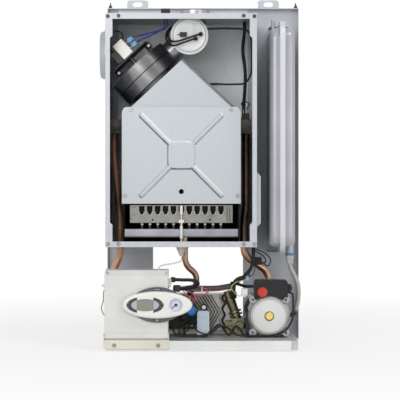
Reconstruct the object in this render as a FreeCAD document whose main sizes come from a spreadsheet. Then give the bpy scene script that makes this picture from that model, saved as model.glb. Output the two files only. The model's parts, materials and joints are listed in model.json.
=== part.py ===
import FreeCAD, Part
import math
import os
import re
import Sketcher

# Wall-hung gas boiler with its front cover off.
# X to the right, Y into the wall, Z up; the origin is on the wall, midway between the hanging slots.

SIZES = {
    # rear chassis and its hanging tabs
    "frame_width": 400, "frame_height": 692, "frame_drop": 10, "frame_sheet": 1.5, "frame_flange": 22,
    "tab_spacing": 275, "tab_width": 44, "tab_rise": 19, "tab_corner": 6, "slot_length": 20,
    "slot_width": 10,
    "window_width": 189, "window_height": 150, "window_shift": -10.5, "window_base": 42,
    "stud_radius": 4.5, "stud_height": 7, "stud_inset": 6,
    # tray, white front rail and hinge strip
    "tray_width": 377, "tray_shift": -2.5, "tray_depth": 223, "tray_sheet": 1.5, "tray_lip": 18,
    "rail_sheet": 1.5, "rail_inset": 13, "hinge_sheet": 1.5, "hinge_pin": 2, "hinge_gap": 0.5,
    "pivot_inset": 5.5,
    "pivot_rise": 6, "ear_depth": 11, "running_gap": 0.05,
    # sealed chamber
    "chamber_width": 298, "chamber_height": 460, "chamber_depth": 213, "chamber_shift": -43,
    "chamber_drop": 31, "chamber_sheet": 1.2, "lip_width": 9, "corner_lip": 14, "corner_rise": 44,
    "rail_height": 11, "bulge_height": 110, "bulge_depth": 120, "bulge_out": 8, "bulge_base": 38,
    "cap_radius": 57, "cap_height": 13, "cap_drop": 77, "cap_depth": 140,
    # flue spigot and duct
    "spigot_radius": 30, "spigot_height": 18, "spigot_wall": 1.5, "spigot_shift": -17, "flange_radius": 46,
    "flange_sheet": 2, "duct_radius": 23, "duct_wall": 1.2, "duct_bend": 42,
    # combustion stack: hood, finned exchanger, lined box, front panel
    "stack_gap": 25, "stack_depth": 158, "stack_width": 228, "stack_sheet": 1.5, "panel_width": 236,
    "panel_height": 192, "panel_drop": 183, "panel_sheet": 1.2, "panel_corner": 12, "panel_overlap": 2,
    "bead_width": 6, "bead_rise": 2.5, "octagon_width": 52, "bead_reach": 81, "bead_start": 36,
    "sight_radius": 5, "sight_rise": 24, "exchanger_height": 68, "header_height": 28, "header_drop": 22,
    "left_header": 32, "right_header": 25, "header_depth": 120, "fin_sheet": 1, "fin_pitch": 7.2,
    "tube_radius": 9, "tube_pitch": 34, "tube_drop": 36, "lining_board": 10, "hood_width": 202,
    "hood_height": 94, "hood_depth": 150, "hood_sheet": 1.2, "hood_lip": 5,
    # fan, in line with the left slope of the hood
    "fan_radius": 66, "shell_height": 24, "shell_wall": 1.5, "fan_gasket": 10, "fan_along": 68,
    "fan_depth": 104,
    "inlet_radius": 30, "impeller_radius": 55, "impeller_height": 30, "shaft_radius": 4, "post_height": 19,
    "post_width": 9, "stack_long": 36, "coil_long": 25, "coil_wide": 13, "coil_deep": 38, "core_wide": 25,
    "core_deep": 70,
    # pressure switch and its tubes
    "switch_radius": 37.5, "switch_depth": 28, "switch_drop": 41, "switch_shift": -27, "switch_front": 190,
    "switch_tube": 2,
    # burner, gas manifold and electrode
    "blade_pitch": 15.7, "blade_width": 8, "blade_height": 27, "blade_depth": 128,
    "burner_width": 204, "burner_height": 35, "burner_sheet": 1.2, "slot_wide": 11, "slot_tall": 17,
    "burner_drop": 3,
    "manifold_height": 17, "manifold_depth": 17, "manifold_rise": 18, "injector_radius": 3,
    "ceramic_radius": 3, "ceramic_long": 18, "sleeve_long": 25, "spark_radius": 1, "lead_radius": 1.5,
    # water and gas pipes
    "pipe_radius": 7.5, "pipe_wall": 1, "gas_pipe_radius": 6, "pipe_line": 105, "pipe_bend": 30,
    "grommet_wall": 4.5, "collar_wall": 1.6, "lead_wall": 8, "grommet_drop": 18, "grommet_rim": 5,
    "grommet_gap": 0.2, "gas_port": 24, "gas_port_line": 120,
    # expansion vessel and hose
    "vessel_width": 50, "vessel_height": 437, "vessel_depth": 176, "vessel_shift": 157.5, "vessel_drop": 56,
    "vessel_gap": 16, "vessel_wall": 1.5, "vessel_corner": 24, "vessel_edge": 12, "seam_width": 10,
    "seam_rise": 14,
    "nipple_radius": 8, "nipple_long": 19, "hose_radius": 4.6, "nipple_shift": 18.5,
    # pump
    "pump_shift": 132.5, "pump_rise": 43, "pump_line": 85, "volute_radius": 38, "volute_depth": 48,
    "motor_radius": 42, "motor_depth": 48, "pump_flange": 6, "ear_spacing": 66, "ear_radius": 9,
    "port_radius": 13, "rotor_radius": 18, "rotor_shaft": 5, "wheel_radius": 27, "label_radius": 33,
    "label_rise": 1.5, "plug_radius": 8, "plug_depth": 6, "terminal_width": 68, "terminal_height": 40,
    "terminal_depth": 42, "terminal_rise": 31, "knob_radius": 10, "knob_depth": 9, "knob_shift": 14,
    "knob_shaft": 3,
    # hydraulic group
    "plate_width": 184, "plate_height": 74, "plate_depth": 38, "plate_shift": -33, "plate_rise": 9,
    "plate_line": 62, "block_height": 35, "block_width": 24, "valve_reach": 50, "valve_foot": 8,
    "valve_head": 10, "valve_lean": 21, "relief_radius": 9, "relief_height": 13, "relief_pin": 4,
    "diverter_width": 24, "diverter_height": 48, "diverter_depth": 38, "diverter_line": 127,
    "diverter_radius": 12, "gas_width": 56, "gas_height": 56, "gas_depth": 42, "gas_shift": -44,
    "gas_line": 104, "gas_rise": 16, "cap_round": 10.5, "cap_long": 18, "large_tail": 13.2,
    "small_tail": 10.5,
    "tail_neck": 8, "tail_long": 14, "tail_wall": 2.5, "tail_gap": 2,
    # control box
    "box_width": 124.5, "box_height": 135.5, "box_depth": 60, "box_shift": -130.75, "box_wall": 2,
    "box_bevel": 12, "box_chamfer": 4, "cover_sheet": 1.5, "board_sheet": 1.6, "board_gap": 5.4,
    "screw_radius": 4, "screw_head": 2.2,
    # oval control panel
    "bezel_long": 69, "bezel_tall": 26.5, "bezel_depth": 8, "bezel_round": 5.5, "bezel_shift": 41,
    "bezel_rise": 69,
    "dark_long": 52, "dark_tall": 34.5, "dark_depth": 6, "rocker_long": 36, "rocker_tall": 16.4,
    "rocker_inner": 16.2, "lens_long": 27.3, "lens_tall": 12, "lens_shift": 23, "key_gap": 0.4,
    "trunnion": 1, "trunnion_reach": 2, "button_wide": 14, "button_tall": 5, "button_deep": 4.3,
    "button_proud": 0.8, "button_drop": 30, "gauge_radius": 13.3, "gauge_depth": 7, "gauge_shift": 37,
    "gauge_pin": 1, "needle_long": 10, "needle_sheet": 0.8,
}

PLACES = {
    "frame_top": "-frame_drop",
    "frame_base": "frame_top - frame_height",
    "frame_face": "-frame_sheet",
    "tray_top": "frame_base + tray_lip",
    "tray_left": "tray_shift - tray_width / 2",
    "tray_right": "tray_left + tray_width",
    "tray_front": "frame_face - tray_depth",
    "roof": "frame_top - chamber_drop",
    "floor": "roof - chamber_height",
    "wall_left": "chamber_shift - chamber_width / 2",
    "wall_right": "wall_left + chamber_width",
    "chamber_front": "frame_face - chamber_depth",
    "stack_back": "frame_face - stack_gap",
    "stack_front": "stack_back - stack_depth",
    "stack_left": "chamber_shift - stack_width / 2",
    "stack_right": "stack_left + stack_width",
    "panel_top": "roof - panel_drop",
    "panel_foot": "panel_top - panel_height",
    "exchanger_top": "panel_top - panel_overlap",
    "exchanger_foot": "exchanger_top - exchanger_height",
    "header_top": "exchanger_top - header_drop",
    "header_foot": "header_top - header_height",
    "header_back": "-pipe_line + header_depth / 2",
    "hood_left": "chamber_shift - hood_width / 2",
    "hood_front": "stack_back - (stack_depth + hood_depth) / 2",
    "hood_base": "exchanger_top + hood_sheet",
    "slope_long": "sqrt(hood_width * hood_width / 4 + hood_height * hood_height)",
    "slope_cos": "hood_width / 2 / slope_long",
    "slope_sin": "hood_height / slope_long",
    "fan_tilt": "asin(slope_sin) / 1deg",
    "fan_lift": "fan_gasket + shell_height",
    "fan_x": "hood_left + slope_cos * fan_along - slope_sin * fan_lift",
    "fan_y": "frame_face - fan_depth",
    "fan_z": "hood_base + slope_sin * fan_along + slope_cos * fan_lift",
    "duct_y": "fan_radius - duct_radius - duct_wall - shell_wall",
    "spigot_y": "fan_y + duct_y",
    "duct_turn": "(spigot_shift - fan_x) / slope_cos",
    "duct_z": "fan_z + slope_sin * duct_turn",
    "core_low": "shell_height + post_height + 2",
    "switch_z": "roof - switch_drop",
    "switch_y": "-switch_front",
    "burner_top": "panel_foot - burner_drop",
    "burner_foot": "burner_top - burner_height",
    "burner_face": "stack_front + 2",
    "manifold_foot": "floor + manifold_rise",
    "manifold_top": "manifold_foot + manifold_height",
    "manifold_front": "stack_front + 4",
    "gas_riser_y": "manifold_front + manifold_depth / 2",
    "spark_y": "burner_face - ceramic_radius - 4",
    "spark_x": "chamber_shift",
    "gas_riser_x": "chamber_shift + 7",
    "flow_x": "stack_left - left_header + pipe_radius + 0.8",
    "return_x": "stack_right + right_header - pipe_radius - 1",
    "flow_floor_x": "flow_x + 12",
    "return_floor_x": "return_x - 4",
    "vessel_top": "frame_top - vessel_drop",
    "vessel_foot": "vessel_top - vessel_height",
    "vessel_back": "frame_face - vessel_gap",
    "nipple_x": "vessel_shift + nipple_shift",
    "pump_z": "tray_top + pump_rise",
    "volute_front": "-pump_line - volute_depth / 2",
    "motor_back": "volute_front - pump_flange",
    "motor_front": "motor_back - motor_depth",
    "terminal_foot": "pump_z + terminal_rise",
    "terminal_front": "motor_back - 6 - terminal_depth",
    "knob_x": "pump_shift - knob_shift",
    "knob_z": "terminal_foot + terminal_height / 2 - 3",
    "plate_left": "plate_shift - plate_width / 2",
    "plate_right": "plate_left + plate_width",
    "plate_foot": "tray_top + plate_rise",
    "plate_front": "-plate_line - plate_depth",
    "valve_x": "plate_right + block_width / 2",
    "valve_y": "plate_front - 18",
    "valve_top": "tray_top + block_height",
    "lean_cos": "cos(valve_lean * 1deg)",
    "lean_sin": "sin(valve_lean * 1deg)",
    "diverter_x": "chamber_shift + 43.5",
    "diverter_z": "tray_top + 29",
    "gas_left": "gas_shift - gas_width / 2",
    "gas_right": "gas_left + gas_width",
    "gas_foot": "tray_top + gas_rise",
    "gas_top": "gas_foot + gas_height",
    "gas_front": "-gas_line - gas_depth",
    "box_left": "box_shift - box_width / 2",
    "box_right": "box_left + box_width",
    "box_foot": "tray_top + hinge_sheet + hinge_gap",
    "box_top": "box_foot + box_height",
    "box_front": "tray_front - hinge_sheet + 1",
    "box_back": "box_front + box_depth",
    "pivot_y": "box_front + pivot_inset",
    "pivot_z": "box_foot + pivot_rise",
    "bezel_x": "box_shift + bezel_shift",
    "bezel_z": "box_foot + bezel_rise",
    "dark_front": "box_front - dark_depth",
    "bezel_front": "dark_front - bezel_depth",
    "lens_x": "bezel_x - lens_shift",
    "gauge_x": "bezel_x + gauge_shift",
    "gauge_face": "dark_front - gauge_depth + 2.2",
}

BLADES = 11
WHEEL_BLADES = 12

X, Y, Z = FreeCAD.Vector(1, 0, 0), FreeCAD.Vector(0, 1, 0), FreeCAD.Vector(0, 0, 1)

doc = FreeCAD.newDocument("gas_boiler")
sheet = doc.addObject("Spreadsheet::Sheet", "sizes")
for row, (alias, amount) in enumerate(SIZES.items(), 1):
    sheet.set(f"A{row}", alias)
    sheet.set(f"B{row}", str(amount))
    sheet.setAlias(f"B{row}", alias)
doc.recompute()

owners = {alias: "sizes." for alias in SIZES}
places = doc.addObject("App::VarSet", "places")
probe = doc.addObject("App::VarSet", "probe")
probe.addProperty("App::PropertyFloat", "result")
nodes = []


def formula(text):
    # puts the owner in front of every named size or place
    return re.sub(r"[A-Za-z_]\w*", lambda word: owners.get(word.group(), "") + word.group(), str(text))


for name, text in PLACES.items():
    places.addProperty("App::PropertyFloat", name)
    places.setExpression(name, formula(text))
    owners[name] = "places."
doc.recompute()


def number(text):
    probe.setExpression("result", formula(text))
    probe.recompute()
    return probe.result


def point(at):
    return FreeCAD.Vector(*[number(text) for text in at])


def bind(obj, prop, text):
    obj.setExpression(prop, formula(text))


def seat(obj, at, rotation=None):
    obj.Placement = FreeCAD.Placement(FreeCAD.Vector(), rotation or FreeCAD.Rotation())
    for axis, text in zip("xyz", at):
        bind(obj, "Placement.Base." + axis, text)
    return obj


def block(x0, x1, y0, y1, z0, z1):
    box = doc.addObject("Part::Box", "block")
    for prop, low, high in (("Length", x0, x1), ("Width", y0, y1), ("Height", z0, z1)):
        bind(box, prop, f"({high}) - ({low})")
    return seat(box, (x0, y0, z0))


def slanted(size, corner, angle, axis, centre):
    # a block turned about an axis through a centre; the corner is measured from the centre before the turn
    box = doc.addObject("Part::Box", "slanted")
    for prop, text in zip(("Length", "Width", "Height"), size):
        bind(box, prop, text)
    rotation = FreeCAD.Rotation(axis, angle)
    columns = [rotation.multVec(direction) for direction in (X, Y, Z)]
    at = []
    for i, text in enumerate(centre):
        shifts = [f"{column[i]:.9f} * ({part})" for column, part in zip(columns, corner)]
        at.append(f"{text} + " + " + ".join(shifts))
    return seat(box, at, rotation)


def rod(at, radius, length, toward=Z):
    cylinder = doc.addObject("Part::Cylinder", "rod")
    bind(cylinder, "Radius", radius)
    bind(cylinder, "Height", length)
    return seat(cylinder, at, FreeCAD.Rotation(Z, toward))


def cone(at, radius, tip, length, toward=Z):
    shape = doc.addObject("Part::Cone", "cone")
    bind(shape, "Radius1", radius)
    bind(shape, "Radius2", tip)
    bind(shape, "Height", length)
    return seat(shape, at, FreeCAD.Rotation(Z, toward))


def oval(at, long, tall, depth):
    # an upright elliptical plate, its back at the given point and its face towards the room
    ellipse = doc.addObject("Part::Ellipse", "ellipse")
    bind(ellipse, "MajorRadius", long)
    bind(ellipse, "MinorRadius", tall)
    seat(ellipse, at, FreeCAD.Rotation(X, 90))
    plate = doc.addObject("Part::Extrusion", "oval")
    plate.Base = ellipse
    plate.DirMode = "Custom"
    plate.Dir = -Y
    plate.Solid = True
    bind(plate, "LengthFwd", depth)
    return plate


def fuse(*shapes):
    joined = doc.addObject("Part::MultiFuse", "fuse")
    joined.Shapes = list(shapes)
    return joined


def group(*shapes):
    compound = doc.addObject("Part::Compound", "group")
    compound.Links = list(shapes)
    return compound


def cut(base, *tools):
    result = doc.addObject("Part::Cut", "cut")
    result.Base = base
    result.Tool = tools[0] if len(tools) == 1 else group(*tools)
    return result


def common(first, second):
    result = doc.addObject("Part::Common", "common")
    result.Base = first
    result.Tool = second
    return result


def sketched(plane, corners):
    # a body with a closed sketch of straight lines, each corner bound to its formulas
    body = doc.addObject("PartDesign::Body", "body")
    sketch = body.newObject("Sketcher::SketchObject", "sketch")
    support = next(feature for feature in body.Origin.OriginFeatures if feature.Role == plane)
    sketch.AttachmentSupport = [(support, "")]
    sketch.MapMode = "FlatFace"
    spots = [FreeCAD.Vector(number(u), number(v), 0) for u, v in corners]
    count = len(spots)
    for i, spot in enumerate(spots):
        sketch.addGeometry(Part.LineSegment(spot, spots[(i + 1) % count]))
    for i in range(count):
        sketch.addConstraint(Sketcher.Constraint("Coincident", i, 2, (i + 1) % count, 1))
    for i, (spot, (u, v)) in enumerate(zip(spots, corners)):
        for kind, name, amount, text in (("DistanceX", "u", spot.x, u), ("DistanceY", "v", spot.y, v)):
            index = sketch.addConstraint(Sketcher.Constraint(kind, -1, 1, i, 1, amount))
            sketch.renameConstraint(index, f"{name}{i}")
            bind(sketch, f"Constraints.{name}{i}", text)
    return body, sketch


def padded(plane, corners, length, at=(0, 0, 0)):
    # XZ outlines grow towards the room, YZ outlines to the right
    body, sketch = sketched(plane, corners)
    pad = body.newObject("PartDesign::Pad", "pad")
    pad.Profile = sketch
    bind(pad, "Length", length)
    return seat(body, at)


def turned(profile, at=(0, 0, 0), toward=Z):
    # profile corners are radius and height along the axis
    body, sketch = sketched("XZ_Plane", profile)
    revolution = body.newObject("PartDesign::Revolution", "revolution")
    revolution.Profile = sketch
    revolution.ReferenceAxis = (sketch, ["V_Axis"])
    revolution.Angle = 360
    return seat(body, at, FreeCAD.Rotation(Z, toward))


def runs_along(axis):
    def wanted(edge):
        if edge.Curve.TypeId != "Part::GeomLine":
            return False
        return abs(abs(edge.Curve.Direction.dot(axis)) - 1) < 1e-6
    return wanted


def at_plane(level):
    # picks the edges that lie in the upright plane at X = level
    def wanted(edge):
        return abs(edge.BoundBox.XMin - level) < 0.01 and abs(edge.BoundBox.XMax - level) < 0.01
    return wanted


def rounded(obj, radius, wanted):
    doc.recompute()
    fillet = doc.addObject("Part::Fillet", "fillet")
    fillet.Base = obj
    size = number(radius)
    fillet.Edges = [(i, size, size) for i, edge in enumerate(obj.Shape.Edges, 1) if wanted(edge)]
    return fillet


def route_wire(label, spots, bend=None):
    # straight runs joined by tangent arcs, each as large as its runs allow unless a bend is given
    edges = []
    start = spots[0]
    radii = []
    for before, corner, after in zip(spots, spots[1:], spots[2:]):
        back, ahead = before - corner, after - corner
        turn = math.pi - back.getAngle(ahead)
        room = 0.45 * min(back.Length, ahead.Length)
        radius = min(bend or math.inf, room / math.tan(turn / 2))
        reach = radius * math.tan(turn / 2)
        first = corner + back.normalize() * reach
        last = corner + ahead.normalize() * reach
        middle = (first + last) / 2 - corner
        top = corner + middle.normalize() * (radius / math.cos(turn / 2) - radius)
        edges += [Part.LineSegment(start, first).toShape(), Part.Arc(first, top, last).toShape()]
        start = last
        radii.append(radius)
    edges.append(Part.LineSegment(start, spots[-1]).toShape())
    print(label, "bend radii", [round(radius, 1) for radius in radii])
    return Part.Wire(edges)


def swept(wire, radius):
    tangent = wire.Edges[0].tangentAt(wire.Edges[0].FirstParameter)
    ring = Part.Wire(Part.makeCircle(radius, wire.Vertexes[0].Point, tangent))
    return wire.makePipeShell([ring], True, False)


def tube(label, corners, radius, bore=None, bend=None):
    # a pipe, or a solid wire where no bore is given, along a route of real points
    wire = route_wire(label, [point(corner) for corner in corners], bend and number(bend))
    outer = number(radius)
    shape = swept(wire, outer)
    section = math.pi * outer ** 2
    if bore:
        shape = shape.cut(swept(wire, number(bore)))
        section -= math.pi * number(bore) ** 2
    share = shape.Volume / (section * wire.Length)
    assert abs(share - 1) < 0.01, f"{label} swept to {share:.3f} of its volume"
    feature = doc.addObject("Part::Feature", "tube")
    feature.Shape = shape
    return feature


def node(label, obj):
    obj.Label = label
    nodes.append(obj)
    return obj


def on_fan(obj):
    # carries a piece made round the fan's seam centre to its place on the slope of the hood
    seat(obj, ("fan_x", "fan_y", "fan_z"), FreeCAD.Rotation(Y, -1))
    bind(obj, "Placement.Rotation.Angle", "-fan_tilt")
    return obj


def back_frame():
    left, right = "-frame_width / 2", "frame_width / 2"
    pieces = [block(left, right, "frame_face", 0, "frame_base", "frame_top")]
    flange = "frame_face - frame_flange"
    pieces.append(block(left, f"{left} + frame_sheet", flange, "frame_face", "frame_base", "frame_top"))
    pieces.append(block(f"{right} - frame_sheet", right, flange, "frame_face", "frame_base", "frame_top"))
    inner = (f"{left} + frame_sheet", f"{right} - frame_sheet")
    pieces.append(block(*inner, flange, "frame_face", "frame_top - frame_sheet", "frame_top"))
    for side in (-1, 1):
        middle = f"{side} * tab_spacing / 2"
        edges = (f"{middle} - tab_width / 2", f"{middle} + tab_width / 2")
        tab = block(*edges, "frame_face", 0, "frame_top - tab_corner", "frame_top + tab_rise")
        pieces.append(rounded(tab, "tab_corner", lambda edge: runs_along(Y)(edge)
                              and edge.CenterOfMass.z > number("frame_top")))
    seam_foot, seam_top = "vessel_foot - seam_rise", "vessel_top + seam_rise"
    shelf = ("vessel_shift - 24", "vessel_shift + 4", "vessel_back - 48", "frame_face")
    pieces.append(block(*shelf, f"{seam_foot} - frame_sheet", seam_foot))
    hook = ("vessel_shift - 20", "vessel_shift + 20", "vessel_back - 34", "frame_face")
    pieces.append(block(*hook, seam_top, f"{seam_top} + frame_sheet"))
    plate = fuse(*pieces)
    tools = []
    window = ("window_shift - window_width / 2", "window_shift + window_width / 2")
    sill = "frame_base + window_base"
    tools.append(block(*window, "frame_face - 1", 1, sill, f"{sill} + window_height"))
    for side in (-1, 1):
        middle = f"{side} * tab_spacing / 2"
        reach = "(slot_length - slot_width) / 2"
        slot = [block(f"{middle} - {reach}", f"{middle} + {reach}", "frame_face - 1", 1,
                      "-slot_width / 2", "slot_width / 2")]
        for end in (-1, 1):
            slot.append(rod((f"{middle} + {end} * {reach}", "frame_face - 1", 0), "slot_width / 2",
                            "frame_sheet + 2", Y))
        tools.append(fuse(*slot))
    node("back_frame", cut(plate, *tools))


def tail_list():
    # X, distance from the wall, radius and top of each connection under the tray
    return [
        ("flow_floor_x + 4", "pipe_line", "large_tail", "tray_top + 8"),
        ("plate_left + 15", "plate_line + plate_depth / 2", "small_tail", "tray_top + 3"),
        ("gas_shift", "gas_line + gas_depth / 2", "large_tail", "gas_foot"),
        ("valve_x", "plate_line + plate_depth - 3", "small_tail", "tray_top"),
        ("pump_shift", "pump_line", "large_tail", "tray_top"),
    ]


def tray():
    under = "tray_top - tray_sheet"
    floor = block("tray_left", "tray_right", "tray_front", "frame_face", under, "tray_top")
    lips = [
        block("tray_left", "tray_left + tray_sheet", "tray_front", "frame_face", "frame_base", under),
        block("tray_right - tray_sheet", "tray_right", "tray_front", "frame_face", "frame_base", under),
        block("tray_left", "tray_right", "tray_front", "tray_front + tray_sheet", "frame_base", under),
        block("tray_left", "tray_right", "frame_face - tray_sheet", "frame_face", "frame_base", under),
    ]
    holes = [rod((x, f"-({line})", f"{under} - 1"), "tail_neck + tail_gap", "tray_sheet + 2")
             for x, line, radius, top in tail_list()]
    node("bottom_tray", cut(fuse(floor, *lips), *holes))
    front = ("tray_front - rail_sheet", "tray_front")
    start = "box_right + hinge_sheet + 2 * hinge_gap"
    node("front_rail", block(start, "tray_right - rail_inset", *front, "frame_base", "tray_top"))


def hinge():
    ear_left = ("box_left - hinge_gap - hinge_sheet", "box_left - hinge_gap")
    ear_right = ("box_right + hinge_gap", "box_right + hinge_gap + hinge_sheet")
    ends = (ear_left[0], ear_right[1])
    rear = "pivot_y + ear_depth - pivot_inset"
    front = "tray_front - hinge_sheet"
    pieces = [block(*ends, front, "tray_front", "frame_base + 2", "tray_top + hinge_sheet")]
    pieces.append(block(*ends, "tray_front", rear, "tray_top", "tray_top + hinge_sheet"))
    for ear in (ear_left, ear_right):
        pieces.append(block(*ear, front, rear, "tray_top", "pivot_z + 6"))
    reach = "hinge_sheet + hinge_gap + box_wall + 2"
    pieces.append(rod((ear_left[0], "pivot_y", "pivot_z"), "hinge_pin", reach, X))
    pieces.append(rod((ear_right[1], "pivot_y", "pivot_z"), "hinge_pin", reach, -X))
    node("hinge_strip", fuse(*pieces))


def side_wall(label, face, inward):
    # a wall with a front lip that widens at its two corners; inward is 1 or -1 along X
    wide, narrow = f"{face} + {inward} * corner_lip", f"{face} + {inward} * lip_width"
    foot, top = "floor", "roof"
    lip = padded("XZ_Plane", [
        (face, foot), (wide, foot), (wide, f"{foot} + corner_rise"),
        (narrow, f"{foot} + corner_rise + corner_lip - lip_width"),
        (narrow, f"{top} - corner_rise - corner_lip + lip_width"),
        (wide, f"{top} - corner_rise"), (wide, top), (face, top),
    ], "chamber_sheet", (0, "chamber_front + chamber_sheet", 0))
    span = sorted((face, f"{face} + {inward} * chamber_sheet"), key=number)
    shell = block(*span, "chamber_front + chamber_sheet", "frame_face",
                  "floor + chamber_sheet", "roof - chamber_sheet")
    pieces = [lip, shell]
    if inward < 0:
        middle = "(chamber_front + frame_face) / 2"
        low, high = "floor + bulge_base", "floor + bulge_base + bulge_height"
        pieces.append(padded("XZ_Plane", [
            (face, low), (f"{face} + bulge_out", f"{low} + bulge_out"),
            (f"{face} + bulge_out", f"{high} - bulge_out"), (face, high),
        ], "bulge_depth", (0, f"{middle} + bulge_depth / 2 - 30", 0)))
        shell = fuse(*pieces)
        hollow = padded("XZ_Plane", [
            (f"{face} - 2 * chamber_sheet", f"{low} + chamber_sheet"),
            (face, f"{low} + chamber_sheet"),
            (f"{face} + bulge_out - chamber_sheet", f"{low} + bulge_out"),
            (f"{face} + bulge_out - chamber_sheet", f"{high} - bulge_out"),
            (face, f"{high} - chamber_sheet"), (f"{face} - 2 * chamber_sheet", f"{high} - chamber_sheet"),
        ], "bulge_depth - 2 * chamber_sheet", (0, f"{middle} + bulge_depth / 2 - 30 - chamber_sheet", 0))
        return node(label, cut(shell, hollow))
    return node(label, fuse(*pieces))


def chamber():
    side_wall("chamber_left", "wall_left", 1)
    side_wall("chamber_right", "wall_right", -1)
    behind = ("chamber_front + chamber_sheet", "chamber_front + 2 * chamber_sheet")
    inner = ("wall_left + chamber_sheet", "wall_right - chamber_sheet")
    roof = fuse(block("wall_left", "wall_right", behind[0], "frame_face", "roof - chamber_sheet", "roof"),
                block(*inner, *behind, "roof - rail_height", "roof - chamber_sheet"))
    node("chamber_top", cut(roof, rod(("spigot_shift", "spigot_y", "roof - 5"), "duct_radius + 1", 10)))
    holes = [rod((x, y, "floor - 5"), f"{radius} + {wall} / 2", 12)
             for x, y, radius, drop, wall in grommet_list()]
    base = fuse(block("wall_left", "wall_right", behind[0], "frame_face", "floor", "floor + chamber_sheet"),
                block(*inner, *behind, "floor + chamber_sheet", "floor + rail_height"))
    node("chamber_floor", cut(base, *holes))
    cap_at = ("wall_left", "frame_face - cap_depth", "roof - cap_drop")
    node("side_blanking_cap", turned([
        (0, 0), ("cap_radius", 0), ("cap_radius", "cap_height / 4"),
        ("cap_radius * 0.86", "cap_height / 3"),
        ("cap_radius * 0.8", "cap_height"), (0, "cap_height"),
    ], cap_at, -X))


def grommet_list():
    # X, Y, pipe radius, drop and wall of every grommet in the chamber floor
    return [
        ("flow_floor_x", "-pipe_line", "pipe_radius", "grommet_rim", "grommet_wall"),
        ("return_floor_x", "-pipe_line", "pipe_radius", "grommet_rim", "grommet_wall"),
        ("gas_riser_x", "gas_riser_y", "gas_pipe_radius", "grommet_rim", "collar_wall"),
        ("spark_x", "spark_y", "lead_radius", "grommet_drop", "lead_wall"),
    ]


def grommets():
    rings = []
    for x, y, radius, drop, wall in grommet_list():
        bore, neck = f"{radius} + grommet_gap", f"{radius} + {wall} / 2 - grommet_gap"
        rings.append(turned([
            (bore, f"floor - {drop}"), (f"{radius} + {wall} / 4", f"floor - {drop}"),
            (f"{radius} + {wall} + 1.5", "floor"), (neck, "floor"),
            (neck, "floor + chamber_sheet + 2"), (bore, "floor + chamber_sheet + 2"),
        ], (x, y, 0)))
    node("pipe_grommets", group(*rings))


def flue():
    # duct from the fan, bent upright into the spigot on the roof
    spots = [("fan_x", "spigot_y", "fan_z"), ("spigot_shift", "spigot_y", "duct_z"),
             ("spigot_shift", "spigot_y", "roof + flange_sheet + 1")]
    duct = tube("flue duct", spots, "duct_radius", "duct_radius - duct_wall", "duct_bend")
    drum = on_fan(rod((0, 0, 0), "fan_radius + 0.2", "4 * shell_height"))
    bind(drum, "Placement.Base.x", "fan_x + slope_sin * 2 * shell_height")
    bind(drum, "Placement.Base.z", "fan_z - slope_cos * 2 * shell_height")
    collar = turned([
        ("duct_radius + 0.1", "roof"), ("flange_radius", "roof"), ("flange_radius", "roof + flange_sheet"),
        ("spigot_radius", "roof + flange_sheet"), ("spigot_radius", "roof + flange_sheet + spigot_height"),
        ("spigot_radius - spigot_wall", "roof + flange_sheet + spigot_height"),
        ("spigot_radius - spigot_wall", "roof + flange_sheet"),
        ("duct_radius + 0.1", "roof + flange_sheet"),
    ], ("spigot_shift", "spigot_y", 0))
    rim = turned([
        ("duct_radius - 0.2", "roof + flange_sheet - 0.5"),
        ("duct_radius + 0.2", "roof + flange_sheet - 0.5"),
        ("duct_radius + 0.2", "roof + flange_sheet"), ("duct_radius - 0.2", "roof + flange_sheet"),
    ], ("spigot_shift", "spigot_y", 0))
    node("flue_outlet", fuse(cut(duct, drum), collar, rim))


def fan():
    outer, inner = "fan_radius", "fan_radius - shell_wall"
    outlet = rod((0, "duct_y", 0), "duct_radius + 0.3", "fan_radius + 5", X)
    lower = turned([
        ("inlet_radius", "-shell_height"), (outer, "-shell_height"), (outer, 0), (inner, 0),
        (inner, "-shell_height + shell_wall"), ("inlet_radius", "-shell_height + shell_wall"),
    ])
    node("fan_lower_shell", on_fan(cut(lower, outlet)))
    upper = turned([
        ("shaft_radius + 2", "shell_height"), (outer, "shell_height"), (outer, 0), (inner, 0),
        (inner, "shell_height - shell_wall"), ("shaft_radius + 2", "shell_height - shell_wall"),
    ])
    node("fan_upper_shell", on_fan(cut(upper, outlet)))
    half = "impeller_height / 2"
    hub = turned([
        (0, f"-{half} + 2"), (14, f"-{half} + 2"), (14, f"{half} - 2"), ("impeller_radius", f"{half} - 2"),
        ("impeller_radius", half), ("shaft_radius", half), ("shaft_radius", "core_low + stack_long - 4"),
        (0, "core_low + stack_long - 4"),
    ])
    rim = turned([("impeller_radius - 14", f"-{half}"), ("impeller_radius", f"-{half}"),
                  ("impeller_radius", f"-{half} + 2"), ("impeller_radius - 14", f"-{half} + 2")])
    wheel = [slanted((13, 1.6, "impeller_height"), ("impeller_radius - 14", -0.8, f"-{half}"),
                     360 / WHEEL_BLADES * i, Z, (0, 0, 0)) for i in range(WHEEL_BLADES)]
    node("fan_impeller", on_fan(fuse(hub, rim, *wheel)))
    motor = [block(-42, 46, -54, 26, "shell_height + post_height", "core_low")]
    for start in (-42, 37):
        motor.append(block(start, f"{start} + post_width", -24, 24, "shell_height",
                           "shell_height + post_height"))
    side = "core_wide / 2"
    motor.append(block(f"-{side}", side, "16 - core_deep", 16, "core_low", "core_low + stack_long"))
    hole = rod((0, 0, 0), "shaft_radius + running_gap", "core_low + stack_long - 3")
    node("fan_motor", on_fan(cut(fuse(*motor), hole)))
    coil = block(f"-{side} - coil_wide", f"-{side}", -48, "coil_deep - 48", "core_low + 2",
                 "core_low + 2 + coil_long")
    node("fan_coil", on_fan(rounded(coil, 3, runs_along(Y))))


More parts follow.
